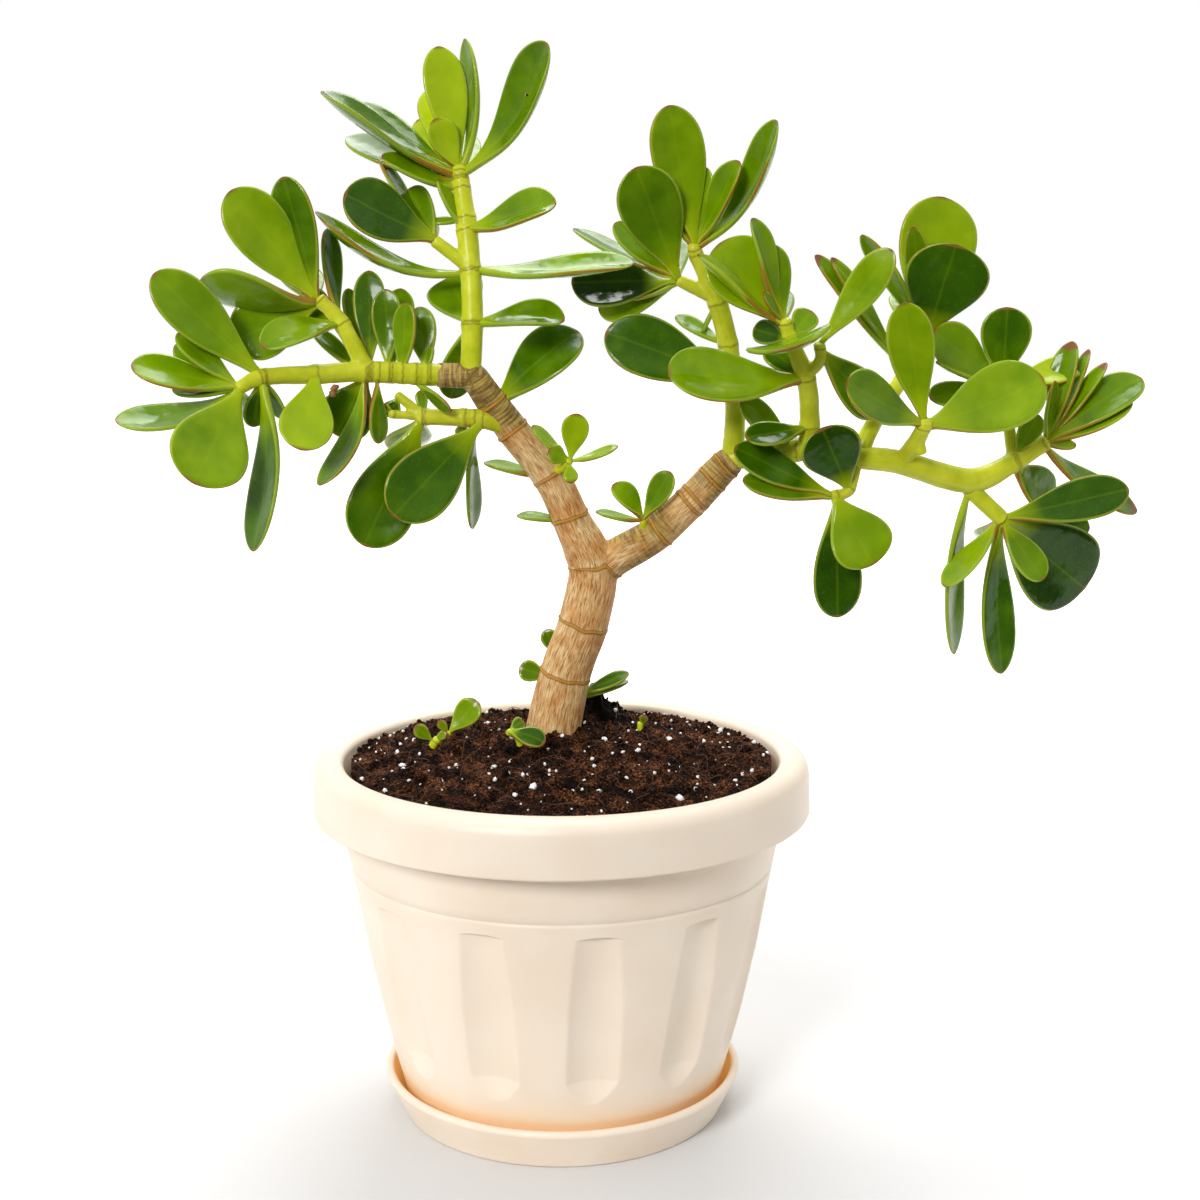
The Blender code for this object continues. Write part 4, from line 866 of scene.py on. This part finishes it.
# A jade leaf has a thick waxy skin: smooth, with a soft shine, and some light goes through the flesh. It
# is deep green, clear yellow-green at the neck and rim, with a red-brown line along parts of its edge. Its
# tint runs from 0, dark, to 1, yellow-green; 2 more than that is a leaf whose tip has withered. Each
# leaf's tint is partly its own green and partly painted light: leaves in shade get darker tints as
# painted shade, and leaves lit through from behind get lighter ones.
FRECKLE = 0.9
MOTTLE = 13.0
RIM_LINE = 1.2
EDGE_LINE = 0.46
MIDRIB = 0.8
BLUSH = 24.0
jade_leaf, tree, shader = new_material(
    "jade_leaf_waxy_skin", IOR=1.45, Specular_IOR_Level=0.26, Subsurface_Weight=0.08,
    Subsurface_Radius=(0.6, 1.0, 0.2), Subsurface_Scale=0.002)
across, along, from_edge = split(tree, carried(tree, "place"))
tint, upper, from_tip = split(tree, carried(tree, "kind"))
spot = add(tree, "TexCoord").outputs["Object"]
mottle = pattern(tree, spot, MOTTLE * MM, 2.0)
freckle = pattern(tree, spot, FRECKLE * MM, 1.0)
withered = maths(tree, "GREATER_THAN", tint, 1.5)
# The leaf's green from its tint and random mottle: partly its own colour, partly painted shade and painted
# light.
age = maths(tree, "MULTIPLY_ADD", mottle, 0.32, maths(tree, "MULTIPLY_ADD", withered, -2.0, tint))
age = maths(tree, "SUBTRACT", age, 0.16)
green = ramp(tree, age, (0.0, "#0e2b00"), (0.25, "#365d00"), (0.5, "#6f9200"), (0.75, "#9fb808"),
             (1.0, "#c6d31a"))
green = blend(tree, fade(tree, freckle, 0.6, 0.72, 0.0, 0.05), green, "#b9cf40")
off_middle = maths(tree, "ABSOLUTE", maths(tree, "WRAP", across, LEAF_SHIFT / 2, -LEAF_SHIFT / 2))
rib = fade(tree, off_middle, 0.0, MIDRIB, 0.11, 0.0)
green = blend(tree, maths(tree, "MULTIPLY", rib, upper, use_clamp=True), green, "#a9c220")
share = maths(tree, "DIVIDE", along, maths(tree, "ADD", along, from_tip))
green = blend(tree, fade(tree, share, 0.03, 0.34, 0.85, 0.0), green, "#adc005")
green = blend(tree, fade(tree, upper, 0.2, -0.6, 0.0, 0.25), green, "#8aa62a")
green = blend(tree, fade(tree, from_edge, RIM_LINE * 0.5, RIM_LINE, 0.5, 0.0), green, "#b4c643")
line = fade(tree, from_edge, EDGE_LINE * 0.4, EDGE_LINE, 0.75, 0.0)
blush = fade(tree, pattern(tree, spot, BLUSH * MM, 0.0), 0.5, 0.62)
green = blend(tree, maths(tree, "MULTIPLY", line, blush), green, "#a85c22")
green = blend(tree, fade(tree, from_tip, 0.3, 1.6, 0.8, 0.0), green, "#7b3a18")
dry = fade(tree, maths(tree, "MULTIPLY_ADD", mottle, 8.0, from_tip), 6.4, 7.8, 0.9, 0.0)
green = blend(tree, maths(tree, "MULTIPLY", dry, withered), green, "#8a5638")
pores = bump(tree, freckle, 0.05, 0.0003, Normal=bump(tree, mottle, 1.0, 0.001))
wire(tree, shader, Base_Color=green, Roughness=fade(tree, mottle, 0.35, 0.65, 0.09, 0.24), Normal=pores)

# A green jade stem is the leaf's flesh under a smooth skin, bright yellow-green, with a thin line right
# round it at each joint. Age runs from 0, fresh green, to 1, tan and starting to turn woody.
green_stem, tree, shader = new_material(
    "jade_green_stem_skin", Roughness=0.32, IOR=1.45, Specular_IOR_Level=0.3, Subsurface_Weight=0.15,
    Subsurface_Radius=(0.6, 1.0, 0.2), Subsurface_Scale=0.002)
lap = carried(tree, "lap")
ringed, age, _ = split(tree, carried(tree, "mark"))
streak = pattern(tree, stretch(tree, lap, 1.0, 1.0, 0.12), 1.1, 2.0)
fresh = ramp(tree, pattern(tree, lap, 7.0, 2.0), (0.3, "#bfcb08"), (0.7, "#dde333"))
older = ramp(tree, streak, (0.35, "#8c7430"), (0.65, "#b59a4c"))
tone = blend(tree, age, fresh, older)
tone = blend(tree, maths(tree, "MULTIPLY", ringed, 0.75), tone, "#6f6414")
wire(tree, shader, Base_Color=tone, Normal=bump(tree, streak, 0.1, 0.0003))


def grow(name, seed, leaves, stems=(), age=0.0):
    """A shoot: its stems, if it has any, and its leaves. A stem is a run of (x, y, z, radius). A leaf is
    its joint, the reach from there to its tip, its width, the way its upper side faces and its tint, then
    its bend and its trough where they aren't the usual ones."""
    if stems:
        stalks(name, stems, spread([row[0] for row in leaves])[0], seed, green_stem, age)
    foliage(name, leaves, seed + 1, jade_leaf)


grow("left_leader", 100, [
    # crown
    ((-38, 0, 374), (-52, -8, 31), 20, (.5, -.36, .8), .32, .05, .5),
    ((-38, 1, 375), (-41, 9, 28), 16, (.5, -.4, .75), .32, .04, .5),
    ((-38, 0, 373), (-45, 18, 17), 20, (.3, -.5, .8), .3, .05),
    ((-38, 0, 369), (-29, -14, 12), 14, (.2, -.55, .8), .45),
    ((-38, 1, 373), (-2, 36, 20), 17, (0, -.5, .85), .6),
    ((-38, 0, 376), (-8, 4, 47), 17, (.2, -1, 0), .75),
    ((-38, 0, 376), (-9, -9, 19), 13, (.2, -.9, .5), .85, .05),
    ((-38, 0, 376), (-12, 14, 32), 16, (0, -1, .1), .85),
    ((-38, 0, 376), (-17, 12, 20), 14, (0, -1, .2), .85),
    ((-38, 0, 375), (2, 6, 51), 17, (-.95, -.35, 0), .5, .1),
    ((-37, 0, 375), (33, -8, 48), 23, (-.72, -.68, .3), .42, .14, .55),
    # third joint
    ((-36, -2, 354), (35, -4, 10), 20, (-.1, -.7, .7), .5, .03, .45),
    ((-37, -2, 354), (-9, -5, 19), 8, (.8, -.6, .3), .5),
    ((-37, 0, 358), (-12, -2, -1), 5, (0, -.6, .8), .5),
    # second joint and its side stem
    ((-34.5, 0, 338), (-59, -6, 23), 17, (.25, -.34, .9), .45, .15, .45),
    ((-34.5, 0, 339), (63, -12, 2), 20, (0, -.45, .9), .5, .04, .4),
    ((-47, -5, 350), (-34, -12, 17), 25, (.25, -.9, .4), .17, .05),
    ((-47, -5, 350), (-11, 10, 20), 13, (-.2, -1, 0), .42),
    ((-47, -5, 350), (-22, 10, 32), 13, (.75, -.25, .6), .35, .05),
    ((-47, -4, 350), (-15, 34, 9), 18, (0, -.3, .95), .5),
    # first joint
    ((-34, 0, 318), (36, -12, 2), 18, (0, -.55, .85), .45, -.04, .4),
    ((-34, 0, 318), (-10, 14, 18), 23, (0, -1, .3), .42),
    ((-35, 2, 319), (-9, 15, -31), 14, (0, -1, -.2), .4),
], [
    [(-35, 0, 299, 4.2), (-34, 0, 319, 4.2), (-34.5, 0, 339, 4.1), (-36, 0, 357, 4.0),
     (-38, 0, 374, 3.2), (-38, 0, 378, 2.4)],
    [(-35, -1, 340, 2.7), (-48, -5, 350, 2.5)],
], age=0.1)

# An insect has bitten a hole in one crown leaf: it is dark, with a dry yellow edge.
dry_edge, tree, shader = new_material("dry_leaf_edge", Base_Color=linear("#b9a13c"), Roughness=0.7)
bitten, tree, shader = new_material("bitten_leaf_flesh", Base_Color=linear("#1c1206"), Roughness=0.9)
for name, y, size, seed, flesh in (("bite_edge", 7.0, 1.7, 61, dry_edge), ("bite", 6.5, 1.3, 62, bitten)):
    points, faces = grains([(-12.4, y, 404.9)], [size], seed)
    keep(show("left_leader_" + name, points, faces, flesh), "left_leader")

# Limb leaf: a single broad leaf that leans right from the last ring of the left limb, behind its edge.
# It is the same fleshy leaf as the shoots carry, and it sits on the bark with no stem of its own.
grow("limb_leaf", 110, [
    ((-26, 4, 286), (34, 5, 29), 25, (-.5, -.8, .3), .35, -.04),
])

# Left arm: the long side branch that runs out to the left from the limb's woody foot, nearly level, with
# one upright side stem. Its leaves stand up in tufts and hang below it where the joints are closest.
grow("left_arm", 120, [
    # upright branch
    ((-93, -4, 327), (-33, 2, 42), 24, (.3, -1, .2), .6, .04),
    ((-93, -4, 327), (-11, -7, 47), 17, (-.3, -.9, 0), .32),
    ((-93, -4, 327), (-46, 4, 8), 24, (.1, .6, .8), .4, .1),
    ((-93, -3, 326), (-36, 13, -15), 24, (.2, -.9, .2), .5),
    ((-85, -3, 318), (-4, 6, 37), 12, (.8, -.5, 0), .3, .04),
    ((-85, -3, 318), (-29, -10, -8), 16, (0, -.75, .65), .5, -.08),
    ((-85, -3, 318), (-18, 12, 10), 16, (.2, -1, .1), .42),
    ((-93, -3, 327), (-14, 32, 13), 18, (0, -.4, .9), .55),
    # far end
    ((-115, -4, 298), (-40, -4, 40), 22, (.35, -.9, .3), .52),
    ((-116, -4, 297), (-5, 8, -19), 10, (.5, -.85, 0), .35),
    ((-114, -3, 296), (5, 8, -15), 8, (-.5, -.85, 0), .3),
    ((-115, -5, 296), (-5, -4, -66), 21, (-.7, -.7, 0), .3, .08),
    ((-124, -4, 294), (-41, -4, 9), 18, (.1, -.6, .75), .5),
    ((-124, -4, 294), (-27, 12, 16), 12, (.2, -1, .3), .45),
    ((-124, -4, 294), (-24, 2, 21), 12, (.5, -.6, .5), .5),
    ((-124, -4, 294), (-28, 8, -1), 12, (0, -.6, .8), .5),
    ((-124, -4, 293), (-50, 4, -12), 19, (.1, -.45, .9), .5, .12),
    ((-124, -5, 293), (-17, -12, -35), 31, (.2, -.9, -.1), .58, .04),
    ((-124, -3, 293), (-9, 34, -13), 20, (0, .3, .95), .5),
    # middle joints
    ((-94, -5, 300), (-5, -14, -29), 21, (0, -.95, -.3), .7, .06),
    ((-76, -2, 299), (-18, -6, -43), 13, (-.5, -.7, .3), .42, .14),
    ((-76, 0, 298), (-13, 10, -24), 22, (0, -1, 0), .25),
    ((-76, 0, 299), (-21, 10, 17), 10, (.6, -.6, .5), .4),
    ((-71, -2, 297), (0, -2, -25), 9, (.7, -.7, 0), .38),
    ((-75, 0, 297), (-3, 6, -20), 7, (.3, -.9, 0), .35),
    ((-57, -1, 296), (15, -8, -11), 7, (-.6, -.6, -.5), .4),
    # tuft
    ((-74, 1, 301), (-9, 10, 31), 10, (.6, -.8, 0), .3, .04),
    ((-74, 0, 301), (0, 4, 38), 13, (.1, -1, 0), .3, .04),
    ((-67, -1, 300), (0, -2, 32), 12, (0, -1, 0), .35, .04),
    ((-66, 1, 300), (4, 8, 32), 13, (0, -1, .1), .45, .04),
    ((-62, -3, 297), (3, -4, 30), 11, (-.4, -.9, 0), .45, .05),
    ((-52, 1, 299), (-3, 4, 26), 12, (0, -1, .1), .4, .04),
    ((-52, 0, 300), (2, 2, 10), 4, (-.5, -.8, 0), .4),
], [
    [(-46, 0, 298.5, 4.3), (-76, -2, 300, 4.0), (-94, -3, 299, 3.8), (-115, -4, 298, 3.2),
     (-125, -4, 293.5, 2.7)],
    [(-75, -2, 300, 3.6), (-84.5, -3, 319, 3.2), (-93, -4, 328, 2.6)],
], age=0.15)

# A dead flower bud, dried to brown crumpled paper, still hangs under the arm.
dried_bud, tree, shader = new_material("dried_flower_bud", Base_Color=linear("#9a6a3e"), Roughness=0.75)
points, faces = grains(spread([(-87.5, -3, 293.8), (-88.3, -3, 291.6)])[0], [4.4, 3.4], 63)
keep(show("left_arm_dried_bud", points, faces, dried_bud), "left_arm")

# Lower left arm: a thinner branch under the first one. It carries two broad leaves that hang in front of
# the light, narrow ones edge-on between them, and two weak twigs at its end.
grow("lower_left_arm", 130, [
    ((-31, -2, 280), (-34, -14, -35), 26, (.2, -.95, .2), .25, .04),
    ((-54, -1, 282), (-24, 0, -51), 27, (.1, -1, .05), .33, .04),
    ((-54, 0, 282), (-11, 34, -17), 19, (0, .4, .9), .35),
    ((-34, 1, 280), (-1, 4, -43), 14, (.95, -.25, 0), .35),
    ((-37, 0, 281), (-3, 4, -7), 5, (0, -1, 0), .4),
    ((-53, 0, 282.5), (-2, 3, 10), 5, (0, -1, .1), .4),
    ((-63, 2, 290), (-5, 2, -8), 8, (0, -1, 0), .3),
    ((-65, 0, 283), (-4, 1, 4), 3, (0, -1, 0), .4),
], [
    [(-19, 4, 277.5, 3.8), (-32, 0, 281.5, 3.6), (-55, -1, 282.5, 3.2)],
    [(-54, -1, 283, 2.2), (-64, 2, 291, 1.9)],
    [(-54, -1, 282.5, 1.8), (-67, 0, 283.5, 1.5)],
], age=0.25)

# Ring leaf: a small flat leaf out of a ring of the left limb, seen nearly edge-on.
# It grew straight from the bark, as buds on an old jade limb do.
grow("ring_leaf", 140, [
    ((-5, 9, 258), (-26, 4, 5), 12, (0, -.2, 1), .45),
])

# Fork leaf: another small leaf, out of the ring just above the fork.
# It lies almost level and shows only its rim.
grow("fork_leaf", 150, [
    ((3, 11, 240.5), (-21, 3, 1), 9, (0, -.2, 1), .45),
])

# Left trunk shoot: a young sprout from the left limb's bark, with a short stem and soft new leaves.
# Its green is fresher and its stem paler than on the old branches.
grow("trunk_shoot_left", 160, [
    ((3.7, 0, 265), (3, -4, 19), 11, (0, -1, .1), .65, .04),
    ((3.7, 0, 265), (-15, 0, 14), 8, (.4, -.4, .8), .6, .04),
    ((3.7, 0, 265), (19, -2, 6), 7, (-.2, -.35, .9), .65, .06),
    ((3.2, 0, 264.5), (-8, -3, 5), 8, (.2, -1, .2), .6),
    ((3.2, 0, 264.5), (1, -4, -8), 6, (0, -1, 0), .6),
], [
    [(-4, 7, 259, 1.9), (0.5, 2, 262, 1.8), (3.7, 0, 265.5, 1.6)],
])

# Right trunk shoot: a sprout of three young leaves where the right limb leaves the trunk.
# The leaves spread from one joint on a stub of green stem.
grow("trunk_shoot_right", 170, [
    ((32.5, 5, 240.5), (-12, -2, 15), 11, (.5, -.7, .5), .5, -.1),
    ((32.5, 5, 240.5), (11, -2, 20), 11, (-.4, -.85, .3), .45),
    ((32.5, 5, 240.5), (-19, -3, 4), 8, (0, -.3, 1), .5),
], [
    [(34, 9, 234, 1.8), (32.5, 5, 241, 1.5)],
])

# Right leader: the stem that climbs from the end of the right limb to the right crown. It bends left on
# its way, and its side stem holds a fan of dark leaves.
grow("right_leader", 180, [
    # crown
    ((53, 8, 347), (-11, 2, 55), 22, (.1, -1, .1), .52),
    ((53, 8, 347), (31, -2, 49), 18, (-.75, -.5, .4), .4, .14, .6),
    ((53, 8, 347), (17, 4, 34), 14, (-.75, -.55, .3), .45, .03, .5),
    ((53, 8, 347), (4, 10, 32), 10, (-.5, -.85, 0), .5),
    ((53, 8, 346), (-7, 4, 15), 8, (.6, -.8, 0), .6),
    # side stem
    ((46, 6, 335), (-17, -8, 43), 25, (0, -1, -.1), .3),
    ((46, 7, 335), (-6, 36, 17), 20, (0, -.4, .9), .4),
    ((46, 6, 335), (-25, 2, 22), 14, (.3, -.8, .4), .4),
    ((46, 6, 335), (-41, 12, 20), 13, (.2, -.35, .9), .38),
    ((46, 6, 335), (-42, 2, -1), 20, (.1, -.9, .1), .17),
    ((46, 6, 334), (-18, 4, -6), 9, (0, -.5, .85), .4),
    ((46, 7, 334), (-31, 12, -11), 16, (.1, -.9, .3), .52),
    # lower joints
    ((68, 7, 295), (-51, -6, 20), 25, (.1, -.95, .3), .22, -.02),
    ((69, 8, 295), (-12, 36, 9), 20, (0, -.3, .95), .3),
    ((65.5, 8, 310), (-20, 6, 11), 9, (.3, -.6, .7), .45),
    ((62, 8, 326), (-6, 5, -12), 5, (.9, -.3, 0), .5),
], [
    [(68, 6, 262, 4.7), (69, 7, 285, 4.0), (66, 8, 310, 4.0), (61, 8, 328, 3.8), (53, 8, 345, 2.8),
     (53, 8, 349, 2.0)],
    [(61, 8, 328, 3.0), (46, 6, 335, 2.4)],
], age=0.25)

# Right arm: the longest branch, stout and level, that runs right from the right limb and turns up at its
# end in a fan of narrow leaves. Its skin is yellow-green and ringed.
grow("right_arm", 190, [
    ((93, 2, 269), (-23, -5, 20), 14, (.4, -.8, .4), .42),
    # second back branch
    ((173.5, 2, 294), (-26, 10, 21), 20, (.2, -.9, .4), .5),
    ((173.5, 2, 294), (-26, 2, 9), 10, (.1, -.35, .9), .55),
    ((173.5, 2, 294), (-29, -3, -5), 14, (.1, -.6, .75), .35),
    ((173.5, 1, 294), (0, -3, 31), 20, (0, -1, 0), .3),
    ((173.5, 3, 294), (4, 34, 13), 18, (0, -.4, .9), .42),
    ((173.5, 1, 294), (31, -4, 9), 14, (-.1, -.7, .7), .75),
    ((177, -8, 267), (8, -4, 17), 10, (.2, -.9, .3), .45),
    ((177, -7, 264), (20, 12, -17), 19, (.2, -.9, .3), .42),
    # end joint
    ((189, -9, 272), (2, -2, 25), 9, (.7, -.7, 0), .45),
    ((189, -9, 272), (10, 4, 40), 12, (-.6, -.7, .3), 2.5, .03, .5),
    ((189, -9, 272), (16, 2, 37), 8, (-.75, -.45, .4), 2.45, .05, .5),
    ((189, -9, 272), (22, -2, 32), 8, (-.75, -.4, .4), 2.5, .03, .5),
    ((189, -9, 272), (36, -2, 26), 18, (-.3, -.7, .6), .38, -.04),
    ((189, -9, 272), (31, -7, 18), 13, (-.2, -.75, .6), .55),
    ((188, -9, 272), (12, -4, 0), 5, (0, -.8, .6), .6),
    ((188, -9, 272), (40, 5, -27), 16, (.3, -.6, .7), 2.35, .07),
], [
    [(67, 6, 265, 4.8), (96, 3, 269, 4.7), (118, 0, 266, 4.6), (133, -3, 264.5, 4.8), (160, -6, 257.5, 5.0),
     (177, -8, 265, 3.9), (189, -9, 273, 3.2)],
    [(177, -8, 265, 2.6), (176, -2, 278, 2.4), (173.5, 2, 295, 2.2)],
], age=0.2)

# Middle shoot: an upright side branch of the right arm, close to its root, with big glossy leaves that
# lean both ways. The broadest one points straight out to the front.
grow("middle_shoot", 200, [
    ((98, 0, 278), (-27, -15, -3), 13, (0, -.75, .65), .2),
    ((96, -1, 297), (-56, -24, 4), 27, (-.1, -.75, .65), .5, .06),
    ((96, 0, 297), (-15, 8, 12), 12, (.2, -.9, .3), .3),
    ((87, -1, 318), (-26, 5, 31), 28, (.2, -1, .3), .6, .04),
    ((87, -1, 318), (-35, -8, 27), 12, (.6, -.38, .75), .6, .04, .6),
    ((87, 0, 318), (-5, 34, 13), 20, (0, -.4, .9), .4),
    ((87, -1, 318), (-13, 2, 41), 13, (.85, -.55, .1), .55, .02, .5),
    ((87, -1, 318), (-5, 8, 31), 14, (.3, -.9, .2), .45, .04),
    ((87, -1, 318), (-9, -6, 13), 5, (.6, -.7, .3), .5),
    ((90, -2, 312), (-4, -28, -2), 34, (-.29, .28, .91), .5),
    ((90, 0, 312), (-14, 10, 4), 10, (0, -1, 0), .25),
    ((90, 0, 313), (9, 9, 10), 11, (-.2, -1, .2), .45),
    ((100.5, -3, 310), (27, -4, 37), 15, (-.3, -1, .25), .55, .04),
    ((100.5, -3, 309), (25, 3, -26), 18, (.3, -.9, .2), .3, .04),
], [
    [(97.5, 3, 267, 4.0), (98, 2, 282, 4.0), (96, 0, 297, 3.8), (90, -1, 311, 3.0), (87, -1, 320, 2.2)],
    [(95.5, 0, 298, 2.6), (101, -2, 304, 2.4), (100.5, -3, 311, 2.0)],
], age=0.2)

# Front shoot: a short stem on the front of the right arm, with three large leaves, one upright and one
# to each side. A leafless stub stands beside it.
grow("front_shoot", 210, [
    ((140, -16, 280), (-9, 4, 47), 19, (.1, -1, .1), .6),
    ((140, -16, 280), (43, -10, 19), 29, (-.25, -.9, .4), .55, .12),
    ((140, -16, 280), (-32, -8, 17), 20, (-.1, -.8, .5), .35, .04),
], [
    [(133.5, -2, 264, 3.5), (138, -12, 274, 3.3), (140.5, -17, 282, 2.7)],
    [(138.5, -12, 275, 2.1), (139.5, -15, 269, 2.1)],
], age=0.2)

# Back shoot: a slanting stem behind the right arm that ends in two great round leaves, one over the
# other, with narrow ones edge-on at its joints. Two of the narrow ones have dry tips.
grow("back_shoot", 220, [
    ((146, 18, 312), (8, -14, 37), 34, (0, -.9, -.3), .25, .04),
    ((146, 18, 312), (6, 6, 56), 33, (.1, -1, .2), .6, .05),
    ((146, 19, 312), (2, 38, 18), 24, (0, -.4, .9), .42),
    ((146, 18, 312), (-7, -2, 44), 11, (.2, -1, 0), .5),
    ((138, 15, 300), (-37, 6, 45), 11, (.4, -.6, .6), 2.45, .03, .5),
    ((138, 15, 300), (-30, 10, 44), 10, (.4, -.6, .6), 2.45, .03, .5),
    ((145, 18, 311), (-25, 6, 42), 11, (-.6, -.6, -.4), .45, .06),
], [
    [(117.5, 1, 266, 3.6), (123.5, 6, 278, 3.4), (136, 14, 296, 3.0), (146, 18, 313, 2.3)],
], age=0.2)

# Lower middle shoot: a thin stem that hangs below the right arm near its root, with dark leaves that
# face the front and one that hangs by itself.
grow("lower_mid_shoot", 230, [
    ((107, -8, 252), (14, -12, -26), 26, (.1, -.85, .4), .52, .04),
    ((108, -7, 252), (2, 4, -50), 20, (0, -1, .1), .17),
    ((106, -8, 252), (-39, -1, 19), 17, (.3, -.75, .5), .25),
    ((106, -8, 251), (-36, -6, 8), 12, (.1, -.8, .6), .4),
    ((113, -6, 254), (-12, -5, 25), 24, (-.2, -.95, 0), .17, .04),
], [
    [(117, 0, 265, 2.3), (113, -6, 254, 2.2), (106, -8, 251.5, 2.1)],
], age=0.3)

# Drooping shoot: a stout stem that turns down from the right arm and ends in a star of heavy leaves.
# Two of them hang straight down, and the broadest faces the front.
grow("drooping_shoot", 240, [
    ((160, -7, 254), (-4, -2, -66), 16, (.75, -.65, 0), .4, .06),
    ((172, -10, 243), (-23, -8, -26), 13, (-.5, -.5, .7), .6, .04),
    ((172, -10, 243), (1, -8, -61), 17, (.4, -.9, 0), .25, .06),
    ((172, -10, 243), (14, -16, -22), 14, (.2, -.9, .3), .45, .04),
    ((172, -10, 243), (36, 4, -29), 36, (0, -1, 0), .17),
    ((172, -9, 243), (8, 37, -14), 20, (0, .3, .95), .25),
    ((172, -10, 243), (47, -12, 13), 18, (-.1, -.85, .45), .2),
    ((172, -10, 243), (38, 8, -5), 14, (0, -1, .3), .35),
], [
    [(159, -6, 258, 3.6), (162, -7, 253, 3.5), (172.5, -10, 243, 3.3)],
], age=0.1)

# Basal leaf, left: a small leaf out of the trunk's foot, on its left side.
# It has no stem, as new buds on old jade wood have not.
grow("basal_leaf_left", 250, [
    ((-5, 18, 174), (-12.5, 0, 4), 9, (0, -1, .3), .35),
])

# Basal leaf, back: a smaller leaf a little higher, behind the trunk's left edge.
# Only its tip shows past the bark.
grow("basal_leaf_back", 260, [
    ((-1, 20, 182), (-5.5, 1, 11.5), 7.5, (0, -1, .1), .35),
])

# Basal leaves, right: a pair of narrow leaves out of the trunk's foot, to the right.
# They lie one over the other and are the darkest on the trunk.
grow("basal_leaves_right", 270, [
    ((6, 18, 166), (22, 4, 9), 8, (-.2, -.5, .85), .17),
    ((6, 18, 165), (22, 6, 6), 5, (-.1, -.3, .9), .17),
])

# Left seedling: a fallen leaf that rooted and sent up a thin bent stem, with one leaf grown and three
# buds. It stands in the soil to the left of the trunk.
grow("seedling_left", 280, [
    ((-45.5, 0, 155), (12, 0, 13.5), 11, (-.3, -.95, .2), .5),
    ((-45.5, 0, 155.3), (-4, -2, 5.5), 4, (.2, -.9, .2), .5),
    ((-52, 0, 152), (-7, -2, 6.5), 6, (.2, -.9, .3), .5),
    ((-51, 0, 152.5), (5, -3, 3.5), 4, (.1, -.8, .5), .55),
], [
    [(-53, 0, 138, 1.6), (-52, 0, 150, 1.6), (-45, 0, 155.5, 1.4)],
])

# Front seedling: two round leaves on a short stem in front of the trunk, just clear of the soil.
# It is the youngest plant in the pot that has a full leaf.
grow("seedling_front", 290, [
    ((-21.5, -7.5, 157.5), (15, -6, -3.5), 10, (.1, -.7, .7), .2, -.05),
    ((-21, -6.5, 157.7), (6, 2, 3.5), 6, (.1, -.75, .6), .36),
], [
    [(-16, -3, 138, 1.6), (-17, -4, 153, 1.6), (-21.5, -7, 157.5, 1.6)],
])

# Right seedling: the smallest, one leaf tip on a thread of stem behind the trunk.
# It has only just come up through the soil.
grow("seedling_right", 300, [
    ((33, 30, 151), (2, -1, 4), 4, (0, -1, 0), .4),
], [
    [(33, 30, 138, 1.4), (33, 30, 152, 1.4)],
])
